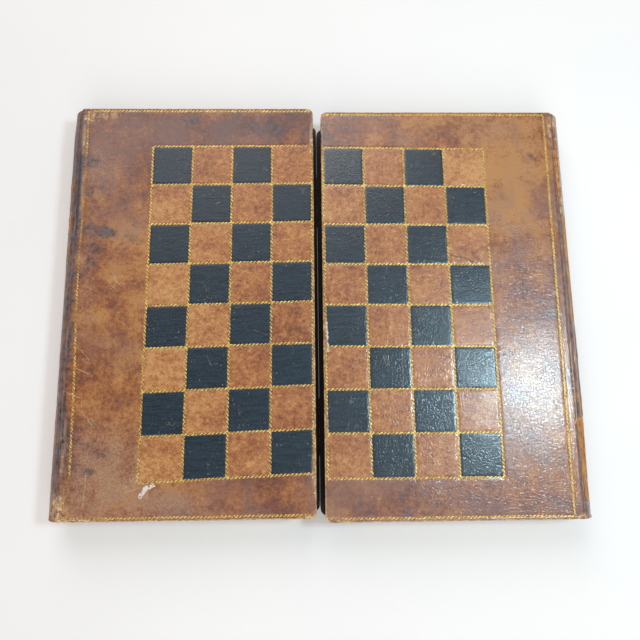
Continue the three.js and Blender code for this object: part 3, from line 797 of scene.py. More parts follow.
def lining_material(name, dark, light, polish):
    """Thin goat leather with a fine pebbled grain."""
    r = Recipe(name, Specular_IOR_Level=0.45)
    pebbles = r.cells(950)
    clouds = r.grain(45, 6, 0.65, 0.5)
    colour = r.scale(clouds, 0.3, 0.7, {0.0: dark, 1.0: light})
    colour = r.mix(r.rise(pebbles, 0.35, 0.75, 0.35, 0.0), colour, dark)
    height = r.sum(r.times(pebbles, 0.6), r.times(clouds, 0.4))
    return r.finish(colour, r.rise(clouds, 0.3, 0.7, polish, polish + 0.2), height, 0.00025, 0.7)


def brass_material(name, look, darker):
    """Old brass: yellow where it is handled, brown in patches, with fine scratches."""
    r = Recipe(name)
    patches = r.grain(260, 6, 0.65, 0.6)
    spots = r.grain(1500, 4, 0.6)
    scratches = r.grain((2600, 220, 2600), 3, 0.6, turn=0.5)
    tarnish = r.rise(r.sum(patches, r.times(r.sum(spots, -0.5), 0.4)), 0.42 - darker, 0.68 - darker)
    colour = r.mix(tarnish, look.brass, look.brass_dark)
    roughness = r.sum(r.rise(tarnish, 0.0, 1.0, 0.26, 0.56), r.times(scratches, 0.1))
    height = r.sum(r.times(scratches, 0.5), r.times(spots, 0.5))
    return r.finish(colour, roughness, height, 0.00008, 0.7, metallic=r.rise(tarnish, 0.0, 1.0, 1.0, 0.72))


def give_material(material, *names):
    for name in names:
        node = frame["nodes"][name]
        node.data.materials.clear()
        node.data.materials.append(material)


# Settings


def length(description, default):
    return bpy.props.FloatProperty(
        description=description, default=default, unit="LENGTH", subtype="DISTANCE", precision=5
    )


def colour(description, code):
    return bpy.props.FloatVectorProperty(
        description=description, default=tint(code), size=3, min=0, max=1, subtype="COLOR"
    )


def share(description, default):
    return bpy.props.FloatProperty(description=description, default=default, min=0, max=1, subtype="FACTOR")


def power(description, default):
    return bpy.props.FloatProperty(description=description, default=default, unit="POWER")


def named(group):
    """Gives every setting of a group its name, from its key: calf_stain_and_shade is Calf Stain."""
    for key, setting in group.__annotations__.items():
        setting.keywords["name"] = key.replace("_", " ").title()
    return group


@named
class StageSettings(bpy.types.PropertyGroup):
    """The floor, the lights and the camera."""

    camera_place: bpy.props.FloatVectorProperty(
        description="Where the camera stands",
        default=(-0.01353, -0.1155, 0.5675),
        subtype="TRANSLATION",
        unit="LENGTH",
    )
    lens: bpy.props.FloatProperty(
        description="The camera's focal length", default=33.75, subtype="DISTANCE_CAMERA"
    )
    floor_size: length("Width of the floor", 8.0)
    floor_colour: colour("Colour of the floor", "fdf6f3")
    floor_shade: colour("Faint shade in the floor", "f9f3f0")
    room_light: bpy.props.FloatProperty(description="Strength of the light from all round", default=0.3, min=0)
    head_light: power("Power of the wide light past the head", 17.0)
    tail_light: power("Power of the wide light past the tail", 14.0)
    window_light: power("Power of the light that shines on the right cover", 4.0)
    lamp_colour: colour("Colour of the two wide lights", "fffdfa")
    window_colour: colour("Colour of the light that shines on the right cover", "d2f3ff")


@named
class CalfSettings(bpy.types.PropertyGroup):
    """The calf binding."""

    thickness: length("Thickness of the calf", 0.0008)
    rounding: length("Radius of the cover's edges", 0.0012)
    corner: length("Radius of the corners at the fore edge", 0.006)
    spacing: length("Widest step between two rows of the skin", 0.0023)
    groove: length("How deep the tooled lines are pressed", 0.00012)
    waves: length("Height of the covers' soft unevenness", 0.00009)
    spine_lumps: length("Depth of the dents in the calf round the spine", 0.0004)
    crease: length("Depth of the creases along the spine", 0.00035)
    headcap: length("Radius of the roll at the end of the right spine", 0.0017)
    thin_tail: length("How much the spines are worn down at one end", 0.0008)
    turn_in: length("How far the calf is turned in below the board", 0.0031)
    polish: share("Roughness of the calf where it is polished", 0.36)
    paint_polish: share("Roughness of the black paint", 0.32)
    left_varnish: share("How thick the varnish is on the left volume", 0.25)
    right_varnish: share("How thick the varnish is on the right volume", 1.0)
    left_roughness: share("Roughness of the varnish on the left volume", 0.3)
    right_roughness: share("Roughness of the varnish on the right volume", 0.14)
    left_bloom: share("Most bloom on the left volume", 0.45)
    right_bloom: share("Most bloom on the right volume", 0.5)
    left_wrinkles: length("Depth of the grain on the left volume", 0.00024)
    right_wrinkles: length("Depth of the grain on the right volume", 0.00021)
    # Also the colour of painted shade beside the tooled lines, in the joint and down the fore edge.
    calf_stain_and_shade: colour("The darkest stains on the calf", "352824")
    calf_grey: colour("Stains that have gone grey", "5b5a69")
    calf_bloom: colour("Dull bloom on the varnish", "8f6c62")
    calf_haze: colour("Greyish pink haze over the varnish", "a98d81")
    calf_dark: colour("The dark parts of the mottling", "5e3931")
    calf_brown: colour("The calf's main brown", "874a2b")
    calf_tan: colour("The light parts of the mottling", "a96530")
    calf_light: colour("The lightest mottling", "c28547")
    square_dark: colour("Dark mottling on the plain squares", "7d4424")
    square_brown: colour("Main brown of the plain squares", "aa6639")
    square_tan: colour("Light mottling on the plain squares", "c07e46")
    square_light: colour("Lightest mottling on the plain squares", "d49b60")
    paint_dark: colour("The black squares", "0a1b28")
    paint_light: colour("Streaks in the black squares", "1c3341")
    scuffed: colour("Rubbed edges", "cc9762")
    scuffed_light: colour("The palest rubbed places", "efcba0")
    torn_dark: colour("Torn leather in its hollows", "7f4c26")
    torn_tan: colour("The torn leather's main colour", "c17c3c")
    torn_light: colour("Fibres of the torn leather", "dda05c")
    scratch: colour("Pale scratches in the varnish", "d2a87c")
    fleck: colour("Small pale marks", "cfc6b8")
    chalk: colour("White scuffs", "f3ece2")
    # Near-black: painted shade in the joint, the gap between the volumes and the spine's creases, with old dirt.
    grime: colour("Old dirt by the hinges", "090b0d")


@named
class ToolingSettings(bpy.types.PropertyGroup):
    """The gold tooling."""

    end_inset: length("From the cover's end to its tooled line", 0.003)
    head_side_inset: length("From the joint to the side line at the head", 0.0061)
    tail_side_inset: length("From the joint to the side line at the tail", 0.00835)
    pitch: length("From one strand of the roll to the next", 0.00335)
    strand_length: length("Length of one strand", 0.0046)
    strand_width: length("Width of one strand", 0.0015)
    strand_height: length("Thickness of one strand", 0.00026)
    slant: bpy.props.FloatProperty(
        description="Turn of a strand from its line", default=math.radians(25), unit="ROTATION"
    )
    drift: length("How far a line strays from its place", 0.0003)
    # The dark and the light gold of the tooling are painted shade and painted highlight on the strands.
    gold_dark: colour("Gold in the hollows", "a9772a")
    gold: colour("The gold's main colour", "eab84a")
    gold_painted_highlight: colour("Gold on the crowns", "ffe392")
    gold_bare: colour("The leather where the gold is rubbed off", "8a5c36")


@named
class LeafSettings(bpy.types.PropertyGroup):
    """The facing cut like the edges of leaves."""

    pitch: length("Height of one leaf", 0.0006)
    depth: length("How deep the hollow between two leaves is", 0.00022)
    spacing: length("Step along the facing", 0.004)
    leaf: colour("Main colour of the leaves", "cdb88c")
    leaf_light: colour("Palest leaves", "e2d3ad")
    leaf_dark: colour("Between the leaves", "8f7648")
    leaf_brown: colour("Browned places", "94713f")
    leaf_sprinkle: colour("Fine sprinkled colour", "7e4a32")
    # Near-black: grime and painted shade of the gap between the volumes.
    leaf_grime: colour("Old dirt on the fore edge", "0b0d10")


@named
class TraySettings(bpy.types.PropertyGroup):
    """The trays and their playing points."""

    point_share: share("A point's length as a share of the tray's", 0.42)
    point_width: share("A point's width as a share of its room", 0.86)
    point_height: length("Thickness of an inlaid point", 0.00025)
    outline: length("Width of the gold round a point", 0.0009)
    walnut_dark: colour("Dark grain of the walls", "2c1a10")
    walnut: colour("Main colour of the walls", "533320")
    walnut_light: colour("Light grain of the walls", "6f4a30")
    board_dark: colour("Dark grain of the boards", "6e5236")
    board_light: colour("Light grain of the boards", "a58357")
    green_dark: colour("Hollows of the lining's grain", "16251b")
    green: colour("The lining", "2b4433")
    cream_dark: colour("Hollows of the cream points", "a38c62")
    cream: colour("The cream points", "d3c096")
    oxblood_dark: colour("Hollows of the red points", "3c1312")
    oxblood: colour("The red points", "6d2420")
    gold_dark: colour("Hollows of the gold round the points", "a97f36")
    gold: colour("The gold round the points", "d9ab55")


@named
class BrassSettings(bpy.types.PropertyGroup):
    """The hinges, pegs and catches."""

    brass: colour("Brass where it is handled", "c9a25a")
    brass_dark: colour("Tarnished brass", "5e4526")


# Pieces


def rounded_off(radius, edge):
    """How far a rounded edge has dropped at a distance in from it."""
    return 0 if edge > radius else radius - math.sqrt(max(radius**2 - (radius - edge) ** 2, 0))


def cover_waves(volume, across, along):
    x, y = volume.place(across, along)
    return sum(weight * waver(x * scale, y * scale, level) for scale, weight, level in WAVES)


def skin_height(volume, look, across, along):
    """How far the calf lies below the cover's highest level at a place on the even layout."""
    edge = volume.edge_distance(across, along)
    groove = look.groove * fall(volume.line_distance(across, along), GROOVE_FLOOR, GROOVE_TOP)
    waves = look.waves * (1 - cover_waves(volume, across, along) / WAVE_REACH)
    return rounded_off(look.rounding, edge) + groove * ease(edge, 0, look.rounding) + waves


def rounded_corner(volume, look, x, y):
    """Draws the square corners at the fore edge in to their radius."""
    radius = look.corner
    back = (volume.fore + radius - x) / radius
    for end, inward in ((volume.near, 1), (volume.far, -1)):
        out = (radius - inward * (y - end)) / radius
        if back > 0 and out > 0:
            x = volume.fore + radius * (1 - back * math.sqrt(1 - out**2 / 2))
            y = end + inward * radius * (1 - out * math.sqrt(1 - back**2 / 2))
    return x, y


def cover_rows(volume, look):
    """The rows of the skin each way, closer at the rounded edges and beside the tooled lines."""

    def beside(*lines):
        return [line + step for line in lines for step in (-GROOVE_TOP, -GROOVE_FLOOR, GROOVE_FLOOR, GROOVE_TOP)]

    edge = [look.rounding * share for share in (0, 0.12, 0.4, 1)]
    files = [volume.first_file + file * volume.file_pitch for file in range(FILES + 1)]
    ranks = [volume.first_rank + rank * volume.rank_pitch for rank in range(RANKS + 1)]
    across = [volume.fore + step for step in edge[:3]]
    across += beside(*files)[1:] + beside(volume.side_line) + [volume.joint]
    along = [volume.near + step for step in edge]
    along += beside(volume.near + volume.end_inset, *ranks, volume.far - volume.end_inset)
    along += [volume.far - step for step in reversed(edge)]
    return stops(across, look.spacing), stops(along, look.spacing)


def only(kind, made):
    """The vertices, or the edges, among what a bmesh operator made."""
    return [item for item in made if isinstance(item, kind)]


def draw_out(bm, edges, move):
    """Draws a chain of edges out by one step and gives back the new chain."""
    made = bmesh.ops.extrude_edge_only(bm, edges=edges)["geom"]
    verts = set(only(bmesh.types.BMVert, made))
    for vertex in verts:
        vertex.co = move(vertex.co)
    return [edge for edge in only(bmesh.types.BMEdge, made) if verts.issuperset(edge.verts)]


def face_out(bm, way):
    """Turns the faces of an open sheet so that the one furthest along a way faces that way."""
    bmesh.ops.recalc_face_normals(bm, faces=bm.faces)
    way = Vector(way)
    if max(bm.faces, key=lambda face: face.calc_center_median().dot(way)).normal.dot(way) < 0:
        bmesh.ops.reverse_faces(bm, faces=bm.faces)


def grid_place(vertex, columns, rows):
    """The column and the row of a vertex of a grid that is one wide and centred."""
    return round((vertex.co.x + 0.5) * columns), round((vertex.co.y + 0.5) * rows)


def lay_cover(bm, volume, look):
    """Lays the skin over the cover, and gives back its edges at the joint and those round its rim."""
    across_rows, along_rows = cover_rows(volume, look)
    columns, rows = len(across_rows) - 1, len(along_rows) - 1
    bmesh.ops.create_grid(bm, x_segments=columns, y_segments=rows, size=0.5)
    square_place = bm.verts.layers.float_vector.new("square_place")
    joint, rim = set(), set()
    for vertex in bm.verts:
        column, row = grid_place(vertex, columns, rows)
        across, along = across_rows[column], along_rows[row]
        vertex[square_place] = (*volume.squares(across, along), 0)
        height = volume.top - skin_height(volume, look, across, along)
        vertex.co = (*rounded_corner(volume, look, *volume.drawn(across, along)), height)
        if column == columns:
            joint.add(vertex)
        if column == 0 or row in (0, rows):
            rim.add(vertex)
    border = [edge for edge in bm.edges if edge.is_boundary]
    joint_chain = [edge for edge in border if joint.issuperset(edge.verts)]
    return joint_chain, [edge for edge in border if rim.issuperset(edge.verts) and edge not in joint_chain]


def turn_in(bm, volume, look, chain):
    """Draws the skin down the board's edges and in below it."""
    depth = volume.top - volume.board_bottom
    for share_down in (0.3, 0.55, 0.8, 1.0):
        level = volume.top - look.rounding - (depth - look.rounding - SEAT) * share_down
        chain = draw_out(bm, chain, lambda co, level=level: Vector((co.x, co.y, level)))
    width = volume.joint - volume.fore
    half = (volume.far - volume.near) / 2
    middle = (volume.far + volume.near) / 2

    def inwards(co):
        x = volume.joint - (volume.joint - co.x) * (width - look.turn_in) / width
        return Vector((x, middle + (co.y - middle) * (half - look.turn_in) / half, co.z - TUCK))

    draw_out(bm, chain, inwards)


def round_spine(bm, volume, look, centre, chain):
    """Draws the skin down into the joint and spins it round the spine."""
    for out, down in JOINT_STEPS:
        chain = draw_out(bm, chain, lambda co, out=out, down=down: Vector((co.x + out, co.y, co.z - down)))
    radius = volume.spine_radius - TUCK
    first = math.acos((volume.joint + ROUND_START - volume.spine_centre) / radius)

    def on_round(co):
        reach = radius - rounded_off(look.rounding, volume.end_distance(co.y))
        return Vector((centre.x + reach * math.cos(first), co.y, centre.z + reach * math.sin(first)))

    chain = draw_out(bm, chain, on_round)
    last = math.acos((volume.joint + SEAT - volume.spine_centre) / radius)
    bmesh.ops.spin(bm, geom=chain, cent=centre, axis=(0, 1, 0), angle=first + last, steps=60, use_duplicate=False)
    bmesh.ops.remove_doubles(bm, verts=bm.verts, dist=0.000005)


def make_binding(volume, look, material):
    """One skin of calf over the cover's top and edges, down into the joint and round the spine."""
    bm = bmesh.new()
    joint_chain, rim_chain = lay_cover(bm, volume, look)
    turn_in(bm, volume, look, rim_chain)
    centre = Vector((volume.spine_centre, 0, volume.spine_level))
    round_spine(bm, volume, look, centre, joint_chain)
    add_wear(bm, volume)
    torn = bm.verts.layers.float["torn"]
    worn_length, slope = WORN_ENDS[volume.side]
    for vertex in bm.verts:
        x, y, z = vertex.co
        if x > volume.joint + 0.0018:
            outward = (vertex.co - centre) * Vector((1, 0, 1))
            turn = math.atan2(outward.z, outward.x)
            tear = ease(vertex[torn], 0.45, 0.7)
            hollow = look.spine_lumps * uneven(x * 260, y * 110, z * 260) + TEAR_DEPTH * tear
            hollow += look.crease * crease_strength(turn, y) * (1 - tear)
            hollow -= ridge_height(volume, turn, volume.sign * y)
            hollow += look.thin_tail * ease(volume.near + worn_length - y, 0, slope)
            vertex.co -= outward.normalized() * min(hollow, MOST_HOLLOW)
    face_out(bm, (0, 0, 1))
    piece = finish_mesh(f"{volume.side}_calf_binding", bm, volume, material)
    thicken(piece, "skin", look.thickness)
    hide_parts(f"{volume.side}_cover_leather", f"{volume.side}_spine_leather")


def make_spine_cap(volume, look, end, material):
    """The calf turned over the spine's end: a flat piece with a soft edge, cut off along the joint."""
    bm = bmesh.new()
    radius = volume.spine_radius - look.thickness - 0.0006
    bmesh.ops.create_circle(bm, cap_ends=True, segments=72, radius=radius)
    upright = Matrix.Translation((volume.spine_centre, 0, volume.spine_level)) @ Matrix.Rotation(math.pi / 2, 4, "X")
    bmesh.ops.transform(bm, matrix=upright, verts=bm.verts)
    everything = bm.verts[:] + bm.edges[:] + bm.faces[:]
    joint = (volume.joint + SEAT, 0, 0)
    bmesh.ops.bisect_plane(bm, geom=everything, plane_co=joint, plane_no=(-1, 0, 0), clear_outer=True)
    made = bmesh.ops.extrude_face_region(bm, geom=bm.faces[:])["geom"]
    bmesh.ops.translate(bm, vec=(0, CAP_THICKNESS, 0), verts=only(bmesh.types.BMVert, made))
    bmesh.ops.recalc_face_normals(bm, faces=bm.faces)
    sharp = [edge for edge in bm.edges if edge.is_manifold and edge.calc_face_angle() > 1.2]
    bmesh.ops.bevel(bm, geom=sharp, offset=0.00028, affect="EDGES", segments=3, profile=0.5, material=-1)
    at_near = (end == "head") == (volume.sign == -1)
    along = volume.near + SEAT if at_near else volume.far - SEAT - CAP_THICKNESS
    bmesh.ops.translate(bm, vec=(0, along, 0), verts=bm.verts)
    add_wear(bm, volume)
    finish_mesh(f"{volume.side}_{end}_spine_cap", bm, volume, material, smooth=False)


def make_headcap(volume, look, end, material):
    """The roll of calf over the end of the right spine, which the left spine has lost to wear."""
    centre = Vector((volume.spine_centre, 0, volume.spine_level))
    half = math.acos((volume.joint + 0.003 - volume.spine_centre) / volume.spine_radius)
    inward = look.headcap * 0.7
    along = volume.near + inward if end == "tail" else volume.far - inward
    reach = volume.spine_radius - look.headcap - 0.0002
    bm = bmesh.new()
    bmesh.ops.create_circle(bm, segments=14, radius=look.headcap)
    bmesh.ops.translate(bm, vec=(centre.x + reach, along, centre.z), verts=bm.verts)
    bmesh.ops.rotate(bm, cent=centre, matrix=Matrix.Rotation(half, 3, "Y"), verts=bm.verts)
    ring = bm.edges[:]
    made = bmesh.ops.spin(
        bm, geom=ring, cent=centre, axis=(0, -1, 0), angle=2 * half, steps=40, use_duplicate=False
    )["geom_last"]
    for opening in (ring, only(bmesh.types.BMEdge, made)):
        bmesh.ops.contextual_create(bm, geom=opening)
    for vertex in bm.verts:
        dent = noise.noise(vertex.co * 420)
        vertex.co += (vertex.co - centre).normalized() * look.headcap * 0.12 * (dent - 1)
    bmesh.ops.recalc_face_normals(bm, faces=bm.faces)
    add_wear(bm, volume)
    finish_mesh(f"{volume.side}_{end}_headcap", bm, volume, material)


def strand_pattern(tooling):
    """One strand of the roll: a flat, pointed leaf with a slight twist."""
    bm = bmesh.new()
    bmesh.ops.create_uvsphere(bm, u_segments=8, v_segments=5, radius=0.5)
    bmesh.ops.rotate(bm, cent=(0, 0, 0), matrix=Matrix.Rotation(math.pi / 2, 3, "Y"), verts=bm.verts)
    for vertex in bm.verts:
        x, y, z = vertex.co
        y += 0.16 * math.sin(2 * math.pi * x)
        vertex.co = (x * tooling.strand_length, y * tooling.strand_width, z * tooling.strand_height)
    mesh = bpy.data.meshes.new("strand")
    bm.to_mesh(mesh)
    bm.free()
    return mesh


def rolled_line(bm, pattern, tooling, ends, height_at, chance, drift):
    """Rolls strands along a straight line between two places on the cover."""
    start, end = (Vector(place) for place in ends)
    direction = (end - start).normalized()
    beside = Vector((-direction.y, direction.x))
    turn = math.atan2(direction.y, direction.x)
    count = max(2, round((end - start).length / tooling.pitch))
    phase = chance.uniform(0, 40)
    for step in range(count):
        way = (step + 0.5) / count
        place = start.lerp(end, way) + beside * (waver(phase + 9 * way, drift * 1000, 0) * drift)
        slant = Matrix.Rotation(turn + tooling.slant * chance.uniform(0.85, 1.15), 4, "Z")
        size = Matrix.Diagonal((chance.uniform(0.92, 1.08), chance.uniform(0.85, 1.15), 1, 1))
        strand = pattern.copy()
        strand.transform(Matrix.Translation((*place, height_at(*place))) @ slant @ size)
        bm.from_mesh(strand)
        bpy.data.meshes.remove(strand)


def make_tooling(volume, look, tooling, material):
    """The gold roll round every square, and along the cover's ends and its side towards the spine."""
    chance = random.Random(7 if volume.side == "left" else 11)
    pattern = strand_pattern(tooling)
    bm = bmesh.new()
    level = volume.top - look.waves - look.groove + tooling.strand_height * 0.06

    def height_at(across, along):
        return level + look.waves * cover_waves(volume, across, along) / WAVE_REACH

    def strayed(crossing):
        return [size + chance.gauss(0, CROSSING_SPREAD) for size in volume.crossing(*crossing)]

    files = [((file, rank), (file + 1, rank)) for rank in range(RANKS + 1) for file in range(FILES)]
    ranks = [((file, rank), (file, rank + 1)) for file in range(FILES + 1) for rank in range(RANKS)]
    for crossings in files + ranks:
        ends = [strayed(crossing) for crossing in crossings]
        rolled_line(bm, pattern, tooling, ends, height_at, chance, tooling.drift)
    near = volume.near + volume.end_inset
    far = volume.far - volume.end_inset
    border = [((volume.fore + LINE_START, end), (volume.side_line_at(end), end)) for end in (near, far)]
    side = [(volume.side_line_at(mark), mark) for mark in stops([near, far], 0.03)]
    for ends in border + list(zip(side, side[1:])):
        rolled_line(bm, pattern, tooling, ends, height_at, chance, tooling.drift * 2)
    bpy.data.meshes.remove(pattern)
    add_wear(bm, volume)
    if volume.side == "left":
        rubbed = bm.verts.layers.float["rubbed"]
        for vertex in bm.verts:
            x, y, _ = vertex.co
            on_side = ease(x, volume.side_line - 0.004, volume.side_line - 0.002)
            whole = ease(y, 0.005, 0.03) * fall(y, 0.14, 0.155)
            spread = 0.27 + on_side * (0.25 - 0.35 * whole)
            worn = 0.1 + 0.15 * on_side * (1 - whole) + spread * uneven(x * 28, y * 28, 0)
            vertex[rubbed] = max(vertex[rubbed], worn)
    finish_mesh(f"{volume.side}_gold_tooling", bm, volume, material)


def make_leaf_edges(volume, leaf, material):
    """The facing round the head, the fore edge and the tail, ridged like the edges of leaves."""
    fore, _, near, far, bottom, top = volume.reach_of("page_edges")
    corners = [Vector(place) for place in ((volume.joint, near), (fore, near), (fore, far), (volume.joint, far))]
    lengths = [(b - a).length for a, b in zip(corners, corners[1:])]
    knots = [0, lengths[0], lengths[0] + lengths[1], sum(lengths)]
    steps = stops(knots, leaf.spacing)
    columns, rows = len(steps) - 1, 2 * round((top - bottom) / leaf.pitch)
    bm = bmesh.new()
    bmesh.ops.create_grid(bm, x_segments=columns, y_segments=rows, size=0.5)
    inward = (Vector((0, 1)), Vector((1, 0)), Vector((0, -1)))
    grime = bm.verts.layers.float.new("grime")
    for vertex in bm.verts:
        step, row = grid_place(vertex, columns, rows)
        way = steps[step]
        leg = next(index for index in range(3) if way <= knots[index + 1] + 1e-9)
        place = corners[leg].lerp(corners[leg + 1], (way - knots[leg]) / lengths[leg])
        push = inward[leg].copy()
        if leg < 2 and abs(way - knots[leg + 1]) < 1e-9:
            push += inward[leg + 1]
        ripple = uneven(way * 30, row * 0.9, volume.sign)
        place += push * leaf.depth * (0.25 * ripple + (0.75 * (0.6 + 0.4 * ripple) if row % 2 else 0))
        vertex.co = (*place, bottom + (top - bottom) * row / rows)
        # Near-black on the fore edge and close to it: grime and painted shade of the gap between the volumes.
        vertex[grime] = fall(place.x - fore, 0.0015, 0.03)
    face_out(bm, (-1, 0, 0))
    piece = finish_mesh(f"{volume.side}_leaf_edges", bm, volume, material, smooth=False)
    thicken(piece, "facing", FACING_THICKNESS)
    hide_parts(f"{volume.side}_page_edges")


def inlay(bm, corners, top, thickness):
    """Adds a flat three-cornered inlay whose face looks down."""
    made = bmesh.ops.create_circle(bm, cap_ends=True, segments=3, radius=0.01)["verts"]
    for vertex, corner in zip(made, corners):
        vertex.co = (*corner, top)
    drawn = bmesh.ops.extrude_face_region(bm, geom=[made[0].link_faces[0]])["geom"]
    bmesh.ops.translate(bm, vec=(0, 0, -thickness), verts=only(bmesh.types.BMVert, drawn))


def point_corners(across, along, width, reach, grow):
    """The corners of one playing point, a little larger all round by grow."""
    half = width / 2 + grow
    tip = reach * (1 + grow / width * 1.2)
    return ((across - half, along), (across + half, along), (across, along + tip))


def make_points(volume, tray, materials):
    """Six playing points at each end of the tray, cream and oxblood in turn, edged with gold."""
    first, last, near, far, bottom, _ = volume.reach_of("play_lining")
    room = (last - first) / POINTS
    reach = (far - near) * tray.point_share
    meshes = {kind: bmesh.new() for kind in materials}
    rows = ((near + POINT_MARGIN, reach), (far - POINT_MARGIN, -reach))
    for at_far, (along, length_along) in enumerate(rows):
        for index in range(POINTS):
            kind = "cream" if (index + at_far) % 2 else "oxblood"
            size = (first + (index + 0.5) * room, along, room * tray.point_width, length_along)
            inlay(meshes[kind], point_corners(*size, 0), bottom - 2 * INLAY_STEP, tray.point_height)
            inlay(meshes["gold"], point_corners(*size, tray.outline), bottom - INLAY_STEP, tray.point_height / 2)
    for kind, bm in meshes.items():
        bmesh.ops.recalc_face_normals(bm, faces=bm.faces)
        name = f"{volume.side}_{kind}_point_edging" if kind == "gold" else f"{volume.side}_{kind}_points"
        finish_mesh(name, bm, volume, materials[kind], smooth=False)


# Operators


class GAMESBOX_OT_binding(bpy.types.Operator):
    """Cover both volumes with calf, from the cover's edges to round the spine"""

    bl_idname = "games_box.binding"
    bl_label = "Calf Binding"

    def execute(self, context):
        look = context.scene.games_box_calf
        for side in SIDES:
            volume = Volume(side)
            make_binding(volume, look, calf_material(f"{side}_calf", look, side, with_squares=True))
            cap_material = calf_material(f"{side}_cap_calf", look, side, with_squares=False)
            for end in ENDS:
                make_spine_cap(volume, look, end, cap_material)
                if side == "right":
                    make_headcap(volume, look, end, cap_material)
        return {"FINISHED"}


class GAMESBOX_OT_tooling(bpy.types.Operator):
    """Roll the gold lines on both covers"""

    bl_idname = "games_box.tooling"
    bl_label = "Gold Tooling"

    def execute(self, context):
        tooling = context.scene.games_box_tooling
        material = gold_material(tooling)
        for side in SIDES:
            make_tooling(Volume(side), context.scene.games_box_calf, tooling, material)
        return {"FINISHED"}


class GAMESBOX_OT_leaf_edges(bpy.types.Operator):
    """Cut the facings like the edges of leaves"""

    bl_idname = "games_box.leaf_edges"
    bl_label = "Leaf Edges"

    def execute(self, context):
        leaf = context.scene.games_box_leaf
        material = leaf_material(leaf)
        for side in SIDES:
            make_leaf_edges(Volume(side), leaf, material)
        return {"FINISHED"}


class GAMESBOX_OT_points(bpy.types.Operator):
    """Inlay the playing points in both trays"""

    bl_idname = "games_box.points"
    bl_label = "Playing Points"

    def execute(self, context):
        tray = context.scene.games_box_tray
        materials = {
            "cream": lining_material("cream_goat", tray.cream_dark, tray.cream, 0.5),
            "oxblood": lining_material("oxblood_goat", tray.oxblood_dark, tray.oxblood, 0.4),
            "gold": lining_material("gold_edging", tray.gold_dark, tray.gold, 0.3),
        }
        for side in SIDES:
            make_points(Volume(side), tray, materials)
        return {"FINISHED"}


class GAMESBOX_OT_woodwork(bpy.types.Operator):
    """Finish the boards, walls, panels, linings and rails"""

    bl_idname = "games_box.woodwork"
    bl_label = "Woodwork and Linings"

    def execute(self, context):
        tray = context.scene.games_box_tray
        walnut = (tray.walnut_dark, tray.walnut, tray.walnut_light, 0.38)
        finishes = (
            (wood_material("walnut_across", *walnut, (9, 150, 150)), ("head_wall", "tail_wall")),
            (wood_material("walnut_along", *walnut, (150, 9, 150)), ("fore_wall", "spine_wall")),
            (board_material(tray), ("cover_board", "spine_core", "play_panel")),
            (rim_material(context.scene.games_box_calf), ("head_rail", "tail_rail", "fore_rail", "spine_rail")),
            (lining_material("green_goat", tray.green_dark, tray.green, 0.45), ("play_lining",)),
        )
        for material, parts in finishes:
            give_material(material, *(f"{side}_{part}" for side in SIDES for part in parts))
        return {"FINISHED"}


class GAMESBOX_OT_brass(bpy.types.Operator):
    """Finish the hinges, pegs, catches and screws"""

    bl_idname = "games_box.brass"
    bl_label = "Brass"

    def execute(self, context):
        look = context.scene.games_box_brass
        handled = brass_material("old_brass", look, 0.0)
        sheltered = brass_material("sheltered_brass", look, 0.1)
        give_material(handled, *(f"{side}_register_peg" for side in SIDES))
        for end in ENDS:
            give_material(handled, *(f"{end}_catch_{piece}" for piece in ("hook", "screw", "stud")))
            give_material(handled, *(f"{end}_hinge_{side}_screw_{number}" for side in SIDES for number in (1, 2, 3)))
            give_material(sheltered, f"{end}_hinge_pin", *(f"{end}_hinge_{side}_leaf" for side in SIDES))
        return {"FINISHED"}


class GAMESBOX_OT_stage(bpy.types.Operator):
    """Lay the pale floor and set the soft lights and the camera"""

    bl_idname = "games_box.stage"
    bl_label = "Stage"

    def execute(self, context):
        stage = context.scene.games_box_stage
        context.scene.view_settings.view_transform = "Standard"
        lay_floor(stage)
        light_room(context.scene, stage)
        add_panel_light("head_light", (-0.38, 1.45, 1.45), 1.5, stage.head_light, stage.lamp_colour)
        add_panel_light("tail_light", (0.1, -1.5, 1.4), 1.5, stage.tail_light, stage.lamp_colour)
        add_panel_light("window_light", (0.535, -0.014, 0.95), 0.15, stage.window_light, stage.window_colour)
        set_camera(context.scene, stage)
        return {"FINISHED"}


def lay_floor(stage):
    bm = bmesh.new()
    bmesh.ops.create_grid(bm, x_segments=8, y_segments=8, size=stage.floor_size / 2)
    mesh = bpy.data.meshes.new("floor")
    bm.to_mesh(mesh)
    bm.free()
    r = Recipe("pale_floor", Specular_IOR_Level=0.2)
    shade = r.grain(3, 3)
    path = r.add("ShaderNodeLightPath").outputs
    seen = r.most(r.most(path["Is Camera Ray"], path["Is Glossy Ray"]), path["Is Transmission Ray"])
    sockets = {
        "Base Color": r.mix(r.rise(shade, 0.3, 0.7), stage.floor_colour, stage.floor_shade),
        "Roughness": r.rise(shade, 0.3, 0.7, 0.85, 0.95),
        "Emission Color": (1, 1, 1),
        "Emission Strength": r.times(seen, 0.08),
    }
    for key, value in sockets.items():
        r.feed(r.shader.inputs[key], value)
    mesh.materials.append(r.material)
    floor = bpy.data.objects.new("floor", mesh)
    bpy.context.scene.collection.objects.link(floor)


def light_room(scene, stage):
    """Even light from all round, with a white background where the camera sees it."""
    scene.world = bpy.data.worlds.new("room")
    scene.world.use_nodes = True
    tree = scene.world.node_tree
    background = tree.nodes["Background"]
    path = tree.nodes.new("ShaderNodeLightPath")
    strength = tree.nodes.new("ShaderNodeMapRange")
    tree.links.new(path.outputs["Is Camera Ray"], strength.inputs["Value"])
    strength.inputs["To Min"].default_value = stage.room_light
    strength.inputs["To Max"].default_value = 1
    tree.links.new(strength.outputs[0], background.inputs["Strength"])
    background.inputs["Color"].default_value = (0.97, 0.985, 1, 1)


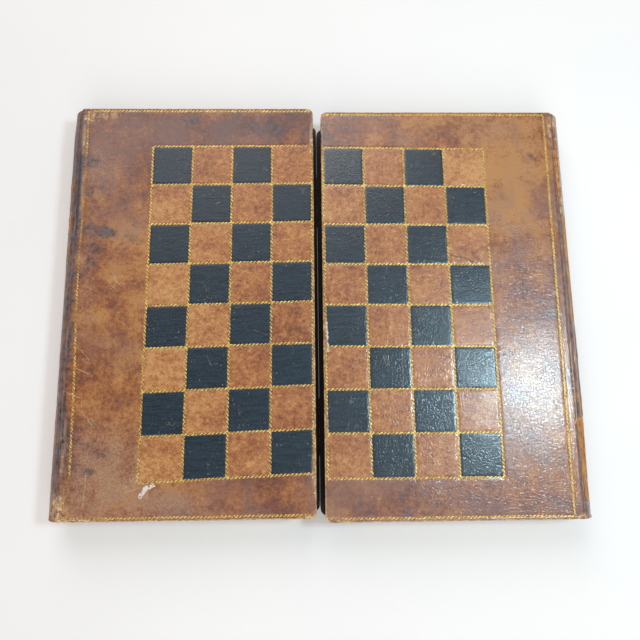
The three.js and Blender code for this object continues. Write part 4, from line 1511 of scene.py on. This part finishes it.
def add_panel_light(name, place, size, light_power, light_colour):
    """A square light that shines towards the middle of the box."""
    light = bpy.data.lights.new(name, "AREA")
    light.shape = "SQUARE"
    light.size = size
    light.energy = light_power
    light.color = light_colour
    lamp = bpy.data.objects.new(name, light)
    lamp.location = place
    lamp.rotation_euler = Vector(place).to_track_quat("Z", "Y").to_euler()
    bpy.context.scene.collection.objects.link(lamp)


def set_camera(scene, stage):
    data = bpy.data.cameras.new("camera")
    data.lens = stage.lens
    data.sensor_width = 36
    camera = bpy.data.objects.new("camera", data)
    right, up, back = (0.9997, -0.0115, 0.0219), (0.0072, 0.9827, 0.1849), (-0.0236, -0.1847, 0.9825)
    camera.location = stage.camera_place
    camera.rotation_euler = Matrix((right, up, back)).transposed().to_euler()
    scene.collection.objects.link(camera)
    scene.camera = camera


class GAMESBOX_PT_panel(bpy.types.Panel):
    """The pieces of the games box and their settings"""

    bl_idname = "GAMESBOX_PT_panel"
    bl_label = "Games Box"
    bl_space_type = "VIEW_3D"
    bl_region_type = "UI"
    bl_category = "Games Box"

    def draw(self, context):
        for operator in OPERATORS:
            self.layout.operator(operator.bl_idname)
        for name, settings in SETTINGS.items():
            box = self.layout.box()
            box.label(text=settings.__doc__)
            for key in settings.__annotations__:
                box.prop(getattr(context.scene, name), key)


OPERATORS = (
    GAMESBOX_OT_stage,
    GAMESBOX_OT_binding,
    GAMESBOX_OT_tooling,
    GAMESBOX_OT_leaf_edges,
    GAMESBOX_OT_points,
    GAMESBOX_OT_woodwork,
    GAMESBOX_OT_brass,
)
SETTINGS = {
    "games_box_stage": StageSettings,
    "games_box_calf": CalfSettings,
    "games_box_tooling": ToolingSettings,
    "games_box_leaf": LeafSettings,
    "games_box_tray": TraySettings,
    "games_box_brass": BrassSettings,
}
CLASSES = (*SETTINGS.values(), *OPERATORS, GAMESBOX_PT_panel)


def register():
    for item in CLASSES:
        bpy.utils.register_class(item)
    for name, group in SETTINGS.items():
        setattr(bpy.types.Scene, name, bpy.props.PointerProperty(type=group))


def unregister():
    for name in SETTINGS:
        delattr(bpy.types.Scene, name)
    for item in reversed(CLASSES):
        bpy.utils.unregister_class(item)


def main():
    register()
    bpy.ops.games_box.stage()
    bpy.ops.games_box.binding()
    bpy.ops.games_box.tooling()
    bpy.ops.games_box.leaf_edges()
    bpy.ops.games_box.points()
    bpy.ops.games_box.woodwork()
    bpy.ops.games_box.brass()


if __name__ == "__main__":
    main()
